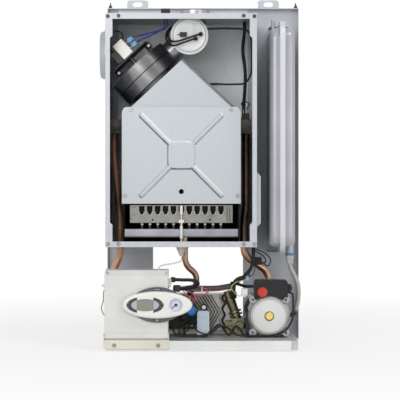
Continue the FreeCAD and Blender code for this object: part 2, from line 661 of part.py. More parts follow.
def pressure_switch():
    back = "switch_y + switch_depth"
    at = ("switch_shift", back, "switch_z")
    disc = turned([
        (0, 0), ("switch_radius - 3", 0), ("switch_radius - 3", "switch_depth / 2 - 3"),
        ("switch_radius", "switch_depth / 2 - 3"), ("switch_radius", "switch_depth / 2 + 3"),
        ("switch_radius - 4", "switch_depth / 2 + 5"), ("switch_radius - 6", "switch_depth - 2"),
        (0, "switch_depth"),
    ], at, -Y)
    bracket = block("switch_shift - 22", "switch_shift + 22", back, f"{back} + 2", "switch_z - 24",
                    "roof - chamber_sheet")
    foot = block("switch_shift - 22", "switch_shift + 22", back, f"{back} + 16", "roof - chamber_sheet - 2",
                 "roof - chamber_sheet")
    plug = block("switch_shift - 19", "switch_shift - 5", "switch_y - 5", "switch_y + 4", "switch_z - 2",
                 "switch_z + 8")
    node("pressure_switch", fuse(disc, bracket, foot, plug))
    side = "switch_shift + sqrt(switch_radius * switch_radius - 196)"
    line, height = "switch_y + switch_depth / 2", "switch_z + 14"
    landing = "exchanger_top + 48"
    slope = f"stack_right - ({landing} - hood_base) * hood_width / 2 / hood_height"
    outside = "wall_right - 10"
    loop = [(f"{side} + 0.8", line, height), ("wall_right - 56", line, f"{height} + 1"),
            (f"{outside} - 9", line, f"{height} - 1"), (outside, line, f"{height} - 16"),
            (f"{outside} + 1", line, f"{height} - 58"), (outside, line, f"{landing} + 18"),
            (f"{outside} - 12", line, landing), ("wall_right - 50", line, f"{landing} - 1"),
            (f"{slope} + 2.8", line, landing)]
    node("pressure_tubes", tube("pressure tube", loop, "switch_tube"))


def flue_hood():
    # a bent roof over the exchanger, open below, with a front plate and a flange round its base
    rise = "hood_height / (hood_width / 2)"
    right = "hood_left + hood_width + hood_lip"
    base = "(hood_width + hood_lip)"
    thick = "hood_sheet * slope_long / hood_height"
    peak = f"hood_base + {base} / 2 * {rise}"
    back = "hood_front + hood_depth"
    middle = "hood_left + (hood_width + hood_lip) / 2"
    body = padded("XZ_Plane", [("hood_left", "hood_base"), (right, "hood_base"), (middle, peak)],
                  "hood_depth", (0, back, 0))
    hollow = padded("XZ_Plane", [
        (f"hood_left + {thick}", "hood_base - 5"), (f"{right} - {thick}", "hood_base - 5"),
        (f"{right} - {thick}", "hood_base"), (middle, f"{peak} - {thick} * {rise}"),
        (f"hood_left + {thick}", "hood_base"),
    ], "hood_depth - 2 * hood_sheet", (0, f"{back} - hood_sheet", 0))
    flange = block("stack_left", "stack_right", "stack_front", "stack_back", "exchanger_top", "hood_base")
    plate = padded("XZ_Plane", [("hood_left", "hood_base"), ("hood_left + hood_width", "hood_base"),
                                ("hood_left + hood_width / 2", "hood_base + hood_height")],
                   "hood_sheet", (0, "hood_front", 0))
    seal = on_fan(turned([
        ("inlet_radius", "-fan_lift - 0.4"), ("inlet_radius + 8", "-fan_lift - 0.4"),
        ("inlet_radius + 8", "-shell_height"), ("inlet_radius", "-shell_height"),
    ]))
    mouth = on_fan(rod((0, 0, 0), "inlet_radius", "3 * fan_lift", -Z))
    shell = fuse(cut(fuse(body, flange, plate), hollow), seal)
    node("flue_hood", cut(shell, mouth))


def combustion_panel():
    left, right = "chamber_shift - panel_width / 2", "chamber_shift + panel_width / 2"
    sheet_front = "stack_front - panel_sheet"
    plain = block(left, right, sheet_front, "stack_front", "panel_foot", "panel_top")
    plate = rounded(plain, "panel_corner", lambda edge: runs_along(Y)(edge)
                    and edge.CenterOfMass.z > number("panel_top - 1"))
    middle_z = "(panel_foot + panel_top) / 2"
    half, cant = "octagon_width / 2", "octagon_width / 2 * 0.42"
    signs = [(1, 1), (-1, 1), (-1, -1), (1, -1)]
    corners = []
    for i, (sx, sz) in enumerate(signs):
        flat = (f"chamber_shift + {sx} * {cant}", f"{middle_z} + {sz} * {half}")
        side = (f"chamber_shift + {sx} * {half}", f"{middle_z} + {sz} * {cant}")
        corners += [side, flat] if i % 2 == 0 else [flat, side]
    raised = [padded("XZ_Plane", corners, "bead_rise", (0, sheet_front, 0))]
    for sx, sz in signs:
        angle = math.degrees(math.atan2(sz, sx))
        bead = slanted(("(bead_reach - bead_start) * sqrt(2)", "bead_rise", "bead_width"),
                       ("bead_start * sqrt(2)", "-bead_rise", "-bead_width / 2"), -angle, Y,
                       ("chamber_shift", sheet_front, middle_z))
        raised.append(bead)
    hole = rod(("chamber_shift", f"{sheet_front} - 1", "panel_foot + sight_rise"), "sight_radius",
               "panel_sheet + 2", Y)
    node("combustion_panel", cut(fuse(plate, *raised), hole))


def combustion_box():
    wall = "stack_sheet"
    span = ("stack_front", "stack_back", "panel_foot", "exchanger_foot")
    sides = [block("stack_left", f"stack_left + {wall}", *span),
             block(f"stack_right - {wall}", "stack_right", *span),
             block("stack_left", "stack_right", f"stack_back - {wall}", *span[1:])]
    node("combustion_box", fuse(*sides))
    inner = ("stack_left + stack_sheet", "stack_right - stack_sheet")
    front, back = "stack_front", "stack_back - stack_sheet"
    height = ("panel_foot", "exchanger_foot")
    boards = [
        block(inner[0], f"{inner[0]} + lining_board", front, back, *height),
        block(f"{inner[1]} - lining_board", inner[1], front, back, *height),
        block(f"{inner[0]} + lining_board", f"{inner[1]} - lining_board", f"{back} - lining_board", back,
              *height),
    ]
    facing = block(f"{inner[0]} + lining_board", f"{inner[1]} - lining_board", front,
                   f"{front} + lining_board", *height)
    sight = rod(("chamber_shift", f"{front} - 1", "panel_foot + sight_rise"), "sight_radius",
                "lining_board + 2", Y)
    node("fibre_lining", group(*boards, cut(facing, sight)))


def heat_exchanger():
    # finned tubes between four plates, with a water header on each side
    inner_left, inner_right = "stack_left + stack_sheet", "stack_right - stack_sheet"
    inner_front, inner_back = "stack_front + stack_sheet", "stack_back - stack_sheet"
    rise = ("exchanger_foot", "exchanger_top")
    plates = [block("stack_left", inner_left, "stack_front", "stack_back", *rise),
              block(inner_right, "stack_right", "stack_front", "stack_back", *rise),
              block(inner_left, inner_right, "stack_front", inner_front, *rise),
              block(inner_left, inner_right, inner_back, "stack_back", *rise)]
    header = ("header_back - header_depth", "header_back", "header_foot", "header_top")
    headers = [block("stack_left - left_header", "stack_left", *header),
               block("stack_right", "stack_right + right_header", *header)]
    middle, height = "(stack_front + stack_back) / 2", "exchanger_top - tube_drop"
    core = [rod((inner_left, f"{middle} + tube_pitch * {k}", height), "tube_radius",
                "stack_width - 2 * stack_sheet", X) for k in (-1.5, -0.5, 0.5, 1.5)]
    fin_count = int(number("(stack_width - 16) / fin_pitch"))
    for i in range(fin_count):
        start = f"chamber_shift + fin_pitch * {i - (fin_count - 1) / 2} - fin_sheet / 2"
        core.append(block(start, f"{start} + fin_sheet", inner_front, inner_back,
                          "exchanger_foot + 8", "exchanger_top - 8"))
    node("heat_exchanger", group(*plates, *headers, fuse(*core)))


def burner():
    # stamped blades in a U-shaped frame that stands on the chamber floor
    frame_front = "burner_face + burner_sheet"
    stand = "floor + chamber_sheet"
    inner = ("stack_left + stack_sheet", "stack_right - stack_sheet")
    frame = [block("stack_left", inner[0], frame_front, "stack_back", stand, "panel_foot"),
             block(inner[1], "stack_right", frame_front, "stack_back", stand, "panel_foot"),
             block(*inner, "stack_back - stack_sheet", "stack_back", stand, "panel_foot")]
    for i in range(BLADES):
        middle = f"chamber_shift + blade_pitch * {i - (BLADES - 1) / 2}"
        low = "burner_top - 2 - blade_height"
        flat = block(f"{middle} - blade_width / 2", f"{middle} + blade_width / 2", frame_front,
                     f"{frame_front} + blade_depth", low, f"{low} + blade_height - blade_width / 2")
        crown = rod((middle, frame_front, f"{low} + blade_height - blade_width / 2"), "blade_width / 2",
                    "blade_depth", Y)
        frame.append(fuse(flat, crown))
    shelf = "burner_top - 2 - blade_height"
    rest = f"{frame_front} + blade_depth - 12"
    frame.append(block(*inner, rest, f"{rest} + 12", f"{shelf} - 2", shelf))
    node("burner_blades", group(*frame))
    plate = block("chamber_shift - burner_width / 2", "chamber_shift + burner_width / 2", "burner_face",
                  frame_front,
                  "burner_foot", "burner_top")
    slots = []
    for i in range(BLADES):
        middle = f"chamber_shift + blade_pitch * {i - (BLADES - 1) / 2}"
        top = "burner_top - 1.5"
        slots.append(padded("XZ_Plane", [
            (f"{middle} - slot_wide / 2", top), (f"{middle} + slot_wide / 2", top),
            (f"{middle} + slot_wide / 2", f"{top} - slot_tall * 0.55"),
            (f"{middle} + slot_wide * 0.2", f"{top} - slot_tall"),
            (f"{middle} - slot_wide * 0.2", f"{top} - slot_tall"),
            (f"{middle} - slot_wide / 2", f"{top} - slot_tall * 0.55"),
        ], "burner_sheet + 2", (0, f"{frame_front} + 1", 0)))
    for side in (-1, 1):
        slots.append(rod((f"chamber_shift + {side} * 57", "burner_face - 1", "burner_foot + 6"), 2,
                         "burner_sheet + 2", Y))
    node("burner_front_plate", cut(plate, *slots))
    ends = ("stack_left + stack_sheet", "stack_right - stack_sheet")
    bar = block(*ends, "manifold_front", "manifold_front + manifold_depth", "manifold_foot", "manifold_top")
    body = rounded(bar, 3, runs_along(X))
    jets = [rod((f"chamber_shift + blade_pitch * {i - (BLADES - 1) / 2}", "gas_riser_y", "manifold_top"),
                "injector_radius", "burner_foot - manifold_top - 1") for i in range(BLADES)]
    node("gas_manifold", group(body, *jets))
    rod_foot = "burner_top - ceramic_long"
    stem = turned([
        (0, "burner_top"), ("ceramic_radius", "burner_top - 2"), ("ceramic_radius", rod_foot),
        ("spark_radius", rod_foot), ("spark_radius", "manifold_top + 6"),
        ("ceramic_radius", "manifold_top + 6"),
        ("ceramic_radius", "manifold_top + 6 - sleeve_long"),
        ("lead_radius", "manifold_top + 6 - sleeve_long"),
        ("lead_radius", "floor - grommet_drop - 1"), (0, "floor - grommet_drop - 1"),
    ], ("spark_x", "spark_y", 0))
    clip = block("spark_x - 5", "spark_x + 5", "spark_y", "burner_face", "burner_foot",
                 "burner_foot + 6")
    node("ignition_electrode", fuse(stem, clip))


def pipes():
    line = "-pipe_line"
    bore = "pipe_radius - pipe_wall"
    tail_x = "flow_floor_x + 4"
    flow = [("flow_x", line, "header_foot"), ("flow_x", line, "header_foot - 40"),
            ("flow_floor_x", line, "floor + 55"), ("flow_floor_x", line, "floor - 22"),
            ("flow_x - 4", line, "floor - 58"), ("flow_x - 4", line, "floor - 105"),
            (tail_x, line, "tray_top + 42"), (tail_x, line, "tray_top + 8")]
    node("flow_pipe", tube("flow pipe", flow, "pipe_radius", bore, "pipe_bend"))
    home = [("return_x", line, "header_foot"), ("return_x", line, "header_foot - 150"),
            ("return_floor_x", line, "floor + 45"), ("return_floor_x", line, "floor - 22"),
            ("pump_shift", "-pump_line", "floor - 56"),
            ("pump_shift", "-pump_line", "pump_z + volute_radius + 6")]
    node("return_pipe", tube("return pipe", home, "pipe_radius", bore, "pipe_bend"))
    riser = "gas_riser_x"
    outlet = "gas_right - gas_port / 2"
    knee = "gas_right + 2.6"
    gas = [(riser, "gas_riser_y", "manifold_foot"), (riser, "gas_riser_y", "floor - 36"),
           (knee, "gas_riser_y + 18", "floor - 57"), (knee, -148, "floor - 78"),
           (outlet, "-gas_port_line", "gas_top + 14"), (outlet, "-gas_port_line", "gas_top")]
    node("gas_pipe", tube("gas pipe", gas, "gas_pipe_radius", "gas_pipe_radius - pipe_wall", "pipe_bend"))


def vessel():
    # two pressed half shells meeting at the seam
    halves = []
    for side in (-1, 1):
        edge = f"vessel_shift + {side} * vessel_width / 2"
        outer_x = sorted((edge, "vessel_shift"), key=number)
        inner_x = sorted((f"{edge} - {side} * vessel_wall", f"vessel_shift + {side}"), key=number)
        depth = ("vessel_back - vessel_depth", "vessel_back")
        outer = rounded(block(*outer_x, *depth, "vessel_foot", "vessel_top"), "vessel_corner",
                        runs_along(X))
        outer = rounded(outer, "vessel_edge", at_plane(number(edge)))
        seam_x = sorted((f"vessel_shift + {side} * seam_width / 2", "vessel_shift"), key=number)
        rim = rounded(block(*seam_x, f"{depth[0]} - seam_rise", f"{depth[1]} + seam_rise",
                            "vessel_foot - seam_rise", "vessel_top + seam_rise"),
                      "vessel_corner + seam_rise", runs_along(X))
        hollow = rounded(block(*inner_x, f"{depth[0]} + vessel_wall", f"{depth[1]} - vessel_wall",
                               "vessel_foot + vessel_wall", "vessel_top - vessel_wall"),
                         "vessel_corner - vessel_wall", runs_along(X))
        inner_edge = number(f"{edge} - {side} * vessel_wall")
        hollow = rounded(hollow, "vessel_edge - vessel_wall", at_plane(inner_edge))
        if side > 0:
            port = rod(("nipple_x", "vessel_back - vessel_depth / 2", "vessel_foot - nipple_long"),
                       "nipple_radius", "nipple_long + vessel_edge")
        else:
            port = rod(("vessel_shift - 17", "vessel_back - vessel_depth + 34",
                        "vessel_top - vessel_edge"), 4,
                       "vessel_edge + 16")
        halves.append(cut(fuse(outer, rim, port), hollow))
    node("expansion_vessel", group(*halves))
    start = "vessel_foot - nipple_long"
    port = "pump_shift + volute_radius + 1.4"
    middle = "vessel_back - vessel_depth / 2"
    hose = [("nipple_x", middle, start), ("nipple_x", middle, f"{start} - 22"),
            ("nipple_x + 18", "-pump_line - 10", f"{start} - 56"),
            ("nipple_x + 20", "-pump_line - 3", f"{start} - 88"),
            ("nipple_x + 12", "-pump_line", "pump_z - 4"), (port, "-pump_line", "pump_z - 4")]
    node("vessel_hose", tube("vessel hose", hose, "hose_radius"))


def pump():
    at = ("pump_shift", "-pump_line + volute_depth / 2", "pump_z")
    casing = rod(at, "volute_radius", "volute_depth", -Y)
    back = "-pump_line + volute_depth / 2"
    ports = [rod(("pump_shift", "-pump_line", "pump_z + 10"), "port_radius", "volute_radius - 4"),
             rod(("pump_shift", "-pump_line", "tray_top"), "port_radius", "pump_z - tray_top - 10"),
             rod(("pump_shift + 20", "-pump_line", "pump_z - 4"), "nipple_radius - 1",
                 "volute_radius - 19", X)]
    bosses = []
    for sx in (-1, 1):
        for sz in (-1, 1):
            bosses.append((f"pump_shift + {sx} * ear_spacing / 2", f"pump_z + {sz} * ear_spacing / 2"))
    studs = [rod((x, "volute_front", z), "ear_radius", 12, Y) for x, z in bosses]
    web = block("pump_shift - ear_spacing / 2", "pump_shift + ear_spacing / 2", "volute_front",
                "volute_front + 8", "pump_z - ear_spacing / 2", "pump_z + ear_spacing / 2")
    well = rod(("pump_shift", "volute_front - 1", "pump_z"), "wheel_radius + 3", "volute_depth - 11", Y)
    node("pump_volute", cut(fuse(casing, *ports, *studs, web), well))
    plate = block("pump_shift - ear_spacing / 2", "pump_shift + ear_spacing / 2", "motor_back",
                  "volute_front",
                  "pump_z - ear_spacing / 2", "pump_z + ear_spacing / 2")
    ears = [rod((x, "motor_back", z), "ear_radius", "pump_flange", Y) for x, z in bosses]
    bolts = [rod((x, "motor_back - 5", z), "ear_radius * 0.55", 5, Y) for x, z in bosses]
    can = turned([
        (0, 0), ("motor_radius", 0), ("motor_radius", "motor_depth - 5"),
        ("motor_radius - 5", "motor_depth"),
        ("label_radius", "motor_depth"), ("label_radius", "motor_depth + label_rise"),
        (0, "motor_depth + label_rise"),
    ], ("pump_shift", "motor_back", "pump_z"), -Y)
    cave = turned([
        (0, -1), ("rotor_radius + 2", -1), ("rotor_radius + 2", "pump_flange + motor_depth - 12"),
        ("rotor_shaft + running_gap", "pump_flange + motor_depth - 12"),
        ("rotor_shaft + running_gap", "pump_flange + motor_depth - 4"),
        ("plug_radius - 2", "pump_flange + motor_depth - 4"),
        ("plug_radius - 2", "pump_flange + motor_depth + 5"),
        (0, "pump_flange + motor_depth + 5"),
    ], ("pump_shift", "volute_front", "pump_z"), -Y)
    node("pump_motor", cut(fuse(can, plate, *ears, *bolts), cave))
    plug_face = "motor_front - label_rise"
    plug = turned([
        (0, "-plug_depth + 2"), ("plug_radius - 2.2", "-plug_depth + 2"), ("plug_radius - 2.2", 0),
        ("plug_radius", 0),
        ("plug_radius", "plug_depth - 3.5"), ("plug_radius - 1.5", "plug_depth - 2"), (0, "plug_depth - 2"),
    ], ("pump_shift", plug_face, "pump_z"), -Y)
    slot = block("pump_shift - plug_radius", "pump_shift + plug_radius", f"{plug_face} - plug_depth",
                 f"{plug_face} - plug_depth + 3.5", "pump_z - 0.8", "pump_z + 0.8")
    node("pump_vent_plug", cut(plug, slot))
    rotor = turned([
        (0, "-volute_depth + 16"), ("wheel_radius", "-volute_depth + 16"),
        ("wheel_radius", "-volute_depth + 30"),
        ("rotor_shaft", "-volute_depth + 34"), ("rotor_shaft", 8), ("rotor_radius", 8),
        ("rotor_radius", "pump_flange + motor_depth - 15"),
        ("rotor_shaft", "pump_flange + motor_depth - 15"),
        ("rotor_shaft", "pump_flange + motor_depth - 4.5"),
        (0, "pump_flange + motor_depth - 4.5"),
    ], ("pump_shift", "volute_front", "pump_z"), -Y)
    node("pump_rotor", rotor)
    left, right = "pump_shift - terminal_width / 2 + 3", "pump_shift + terminal_width / 2 + 3"
    shell = rounded(block(left, right, "terminal_front", "motor_back - 6", "terminal_foot",
                          "terminal_foot + terminal_height"), 5, runs_along(Y))
    scoop = rod(("pump_shift", "motor_back + 1", "pump_z"), "motor_radius + 0.2", "terminal_depth + 10", -Y)
    socket = rod(("knob_x", "terminal_front - 1", "knob_z"), "knob_shaft + running_gap", 9, Y)
    node("pump_terminal_box", cut(shell, scoop, socket))
    knob = turned([
        (0, -7), ("knob_shaft", -7), ("knob_shaft", 0.3), ("knob_radius", 0.3),
        ("knob_radius", "knob_depth - 2"),
        ("knob_radius - 2", "knob_depth"), (0, "knob_depth"),
    ], ("knob_x", "terminal_front", "knob_z"), -Y)
    grip = block("knob_x - 1.6", "knob_x + 1.6", "terminal_front - knob_depth - 3",
                 "terminal_front - knob_depth",
                 "knob_z - knob_radius + 2", "knob_z + knob_radius - 2")
    node("pump_speed_knob", fuse(knob, grip))


def valve_axis(reach):
    # a point on the leaning axis of the safety valve
    return (f"valve_x - lean_sin * ({reach})", "valve_y", f"valve_top - 4 + lean_cos * ({reach})")


def hydraulics():
    stack = rounded(block("plate_left", "plate_right", "plate_front", "-plate_line", "plate_foot",
                          "plate_foot + plate_height"), 8, runs_along(Y))
    node("plate_exchanger", stack)
    right = "plate_right + block_width"
    body = [block("plate_right", right, "plate_front - 30", "-plate_line", "tray_top", "valve_top"),
            block("plate_right - 14", "plate_right", "plate_front - 30", "plate_front", "tray_top",
                  "valve_top - 6")]
    link_y, link_z = "-pump_line", "pump_z - 21"
    link = cut(rod((right, link_y, link_z), 11, "pump_shift - plate_right - block_width", X),
               rod(("pump_shift", "-pump_line - volute_depth", "pump_z"), "volute_radius + 0.2",
                   "2 * volute_depth", Y))
    lean = FreeCAD.Vector(-number("lean_sin"), 0, number("lean_cos"))
    body.append(cone(valve_axis(0), "valve_foot", "valve_head", "valve_reach", lean))
    body.append(rod(valve_axis("valve_reach"), "relief_pin", "relief_height - 2", lean))
    seat_z = "diverter_z - 1"
    cartridge = rod(("diverter_x", "plate_front", seat_z), "diverter_radius",
                    "diverter_line + plate_front", -Y)
    left = block("plate_left + 3", "plate_left + 27", "-plate_line - 33", "-plate_line - 5", "tray_top + 3",
                 "plate_foot")
    node("hydraulic_block", group(fuse(*body, link), cartridge, left))
    knob = doc.addObject("Part::Cut", "knob")
    knob.Base = cone(valve_axis("valve_reach + 0.3"), "relief_radius", "relief_radius - 1.5",
                     "relief_height", lean)
    knob.Tool = rod(valve_axis("valve_reach - 1"), "relief_pin + running_gap", "relief_height", lean)
    node("relief_knob", knob)
    middle = "diverter_x"
    motor = rounded(block(f"{middle} - diverter_width / 2", f"{middle} + diverter_width / 2",
                          "-diverter_line - diverter_depth", "-diverter_line", "tray_top + 5",
                          "tray_top + 5 + diverter_height"), 5,
                    lambda edge: runs_along(Y)(edge) and edge.CenterOfMass.z > number("tray_top + 20"))
    spindle = rod((middle, "-diverter_line - diverter_depth / 2", "tray_top + 4 + diverter_height"), 5.5,
                  12)
    node("diverter_motor", fuse(motor, spindle))


def gas_train():
    body = block("gas_left", "gas_right", "gas_front", "-gas_line", "gas_foot", "gas_top")
    shoulder = block("gas_left", "gas_left + 22", "gas_front - 10", "gas_front", "gas_foot + 4",
                     "gas_top - 26")
    node("gas_valve", fuse(rounded(body, 4, runs_along(Y)), shoulder))
    node("gas_valve_cap", turned([
        (0, 0), ("cap_round", 0), ("cap_round", "cap_long - 5"), ("cap_round - 4", "cap_long"),
        (0, "cap_long"),
    ], ("gas_right - 8", "gas_front", "gas_top - 19"), -Y))
    tails = []
    for x, line, radius, top in tail_list():
        low = "tray_top - tray_sheet - 0.5"
        bore = "tail_neck - tail_wall"
        tails.append(turned([
            (bore, f"{low} - tail_long"), (radius, f"{low} - tail_long"), (radius, low), ("tail_neck", low),
            ("tail_neck", top), (bore, top),
        ], (x, f"-({line})", 0)))
    node("connection_tails", group(*tails))


def box_profile(grow):
    # side outline of the control box, drawn in by the given wall
    foot, top = f"box_foot + {grow}", f"box_top - {grow}"
    face = f"box_front + {grow}"
    ease = f"{grow} * 0.42"
    return [("box_back", foot), (f"{face} + box_chamfer - {ease}", foot),
            (face, f"{foot} + box_chamfer - {ease}"),
            (face, f"{top} - box_bevel + {ease}"), (f"{face} + box_bevel - {ease}", top), ("box_back", top)]


def control_box():
    shell = padded("YZ_Plane", box_profile("0"), "box_width", ("box_left", 0, 0))
    hollow = padded("YZ_Plane", box_profile("box_wall"), "box_width - 2 * box_wall",
                    ("box_left + box_wall", 0, 0))
    ears = [rod(("box_left - 1", "pivot_y", "pivot_z"), "hinge_pin + running_gap", "box_wall + 2", X),
            rod(("box_right + 1", "pivot_y", "pivot_z"), "hinge_pin + running_gap", "box_wall + 2", -X)]
    height, depth = "box_top - 32", "box_front + 30"
    screws = [rod(("box_left", depth, height), "screw_radius", "screw_head", -X),
              rod(("box_right", depth, height), "screw_radius", "screw_head", X)]
    socket = block("box_right", "box_right + 6", "box_front + 28", "box_front + 46", "box_top - 28",
                   "box_top - 18")
    node("control_box", cut(fuse(cut(shell, hollow), *screws, socket), *ears))
    cover = block("box_left", "box_right", "box_back", "box_back + cover_sheet", "box_foot", "box_top")
    node("control_box_back", cover)
    face = "box_back - board_gap"
    inset = ("box_left + 9", "box_right - 9")
    board = [block(*inset, f"{face} - board_sheet", face, "box_foot + 8", "box_top - 10")]
    for sx in (16, -16):
        for sz in (14, -17):
            side = f"box_left + {sx}" if sx > 0 else f"box_right + {sx}"
            level = f"box_foot + {sz}" if sz > 0 else f"box_top + {sz}"
            board.append(rod((side, face, level), 3, "board_gap", Y))
    top = f"{face} - board_sheet"
    for x, z, wide, tall, deep in ((22, 24, 34, 30, 26), (66, 22, 14, 18, 16), (86, 22, 14, 18, 16),
                                   (30, 76, 20, 20, 18), (70, 78, 28, 8, 9), (62, 100, 36, 9, 9)):
        board.append(block(f"box_left + {x}", f"box_left + {x + wide}", f"{top} - {deep}", top,
                           f"box_foot + {z}", f"box_foot + {z + tall}"))
    node("control_board", fuse(*board))


def rocker_band(gap):
    # the ring between the two ellipses, grown by a gap
    outer = oval(("lens_x", "dark_front - 1", "bezel_z"), f"rocker_long + {gap}", f"rocker_tall + {gap}",
                 "bezel_depth - 1.6")
    inner = oval(("lens_x", "dark_front + 1", "bezel_z"), "lens_long + key_gap", "lens_tall + key_gap",
                 "bezel_depth + 4")
    return cut(outer, inner)


def control_panel():
    dark = oval(("bezel_x", "box_front", "bezel_z"), "dark_long", "dark_tall", "dark_depth")
    wells = []
    for sign in (1, -1):
        level = f"bezel_z + {sign} * button_drop"
        wells.append(block("bezel_x - button_wide / 2 - key_gap", "bezel_x + button_wide / 2 + key_gap",
                           "dark_front - 1", "dark_front - button_proud + button_deep + 1.6",
                           f"{level} - button_tall / 2 - key_gap", f"{level} + button_tall / 2 + key_gap"))
    node("panel_base", cut(dark, *wells))
    for label, sign in (("mode_button", 1), ("reset_button", -1)):
        level = f"bezel_z + {sign} * button_drop"
        front = "dark_front - button_proud"
        key = block("bezel_x - button_wide / 2", "bezel_x + button_wide / 2", front,
                    f"{front} + button_deep",
                    f"{level} - button_tall / 2", f"{level} + button_tall / 2")
        node(label, rounded(key, 1.2, runs_along(Y)))
    plate = oval(("bezel_x", "dark_front", "bezel_z"), "bezel_long", "bezel_tall", "bezel_depth")
    face = rounded(plate, "bezel_round", lambda edge: edge.BoundBox.YMax < number("bezel_front + 0.1"))
    lens_hole = oval(("lens_x", "dark_front + 1", "bezel_z"), "lens_long + 0.02", "lens_tall + 0.02",
                     "bezel_depth + 3")
    dial_hole = rod(("gauge_x", "dark_front + 1", "bezel_z"), "gauge_radius + 0.1", "bezel_depth + 3", -Y)
    key_hole = oval(("lens_x", "dark_front + 1", "bezel_z"), "rocker_long + key_gap",
                    "rocker_tall + key_gap",
                    "bezel_depth + 3")
    waist = block("lens_x - rocker_inner + key_gap", "lens_x + rocker_inner - key_gap", "bezel_front - 5",
                  "dark_front + 5", "bezel_z - rocker_tall - 2", "bezel_z + rocker_tall + 2")
    pin_y = "dark_front - bezel_depth / 2 + 0.8"
    reach = "rocker_long + trunnion_reach + 1"
    pin_bore = rod((f"lens_x - ({reach})", pin_y, "bezel_z"), "trunnion + running_gap", f"2 * ({reach})", X)
    holed = cut(face, fuse(lens_hole, cut(key_hole, waist)), dial_hole)
    node("panel_bezel", cut(holed, pin_bore))
    lens = oval(("lens_x", "dark_front", "bezel_z"), "lens_long", "lens_tall", "bezel_depth - 1.2")
    sleeves = [rod((f"lens_x + {sign} * (lens_long - trunnion_reach - 0.6)", pin_y, "bezel_z"),
                   "trunnion + running_gap", 10, sign * X) for sign in (-1, 1)]
    node("lcd_screen", cut(lens, *sleeves))
    for label, sign in (("heating_rocker", -1), ("water_rocker", 1)):
        keep = sorted((f"lens_x + {sign} * rocker_inner", f"lens_x + {sign} * (rocker_long + 5)"),
                      key=number)
        half = block(*keep, "bezel_front - 5", "dark_front + 5", "bezel_z - rocker_tall - 2",
                     "bezel_z + rocker_tall + 2")
        pin = rod((f"lens_x + {sign} * (lens_long - trunnion_reach)", pin_y, "bezel_z"), "trunnion",
                  "rocker_long - lens_long + 2 * trunnion_reach", sign * X)
        node(label, fuse(common(rocker_band("0"), half), pin))
    dial = turned([
        (0, 0), ("gauge_radius", 0), ("gauge_radius", "gauge_depth"), ("gauge_radius - 1.5", "gauge_depth"),
        ("gauge_radius - 1.5", "gauge_depth - 2.2"), ("gauge_pin", "gauge_depth - 2.2"),
        ("gauge_pin", "gauge_depth - 0.4"), (0, "gauge_depth - 0.4"),
    ], ("gauge_x", "dark_front", "bezel_z"), -Y)
    node("gauge_case", dial)
    hub = rod(("gauge_x", "gauge_face - 0.3", "bezel_z"), 3, "needle_sheet", -Y)
    pointer = slanted((1.2, "needle_sheet", "needle_long + 3"), (-0.6, "-needle_sheet", "-needle_long"),
                      50, Y,
                      ("gauge_x", "gauge_face - 0.3", "bezel_z"))
    eye = rod(("gauge_x", "gauge_face + 1", "bezel_z"), "gauge_pin + running_gap", 6, -Y)
    node("gauge_needle", cut(fuse(hub, pointer), eye))


def on_slope(along, out):
    # X and Z of a point given along and out from the fan's seam centre
    return (f"fan_x + slope_cos * ({along}) - slope_sin * ({out})",
            f"fan_z + slope_sin * ({along}) + slope_cos * ({out})")


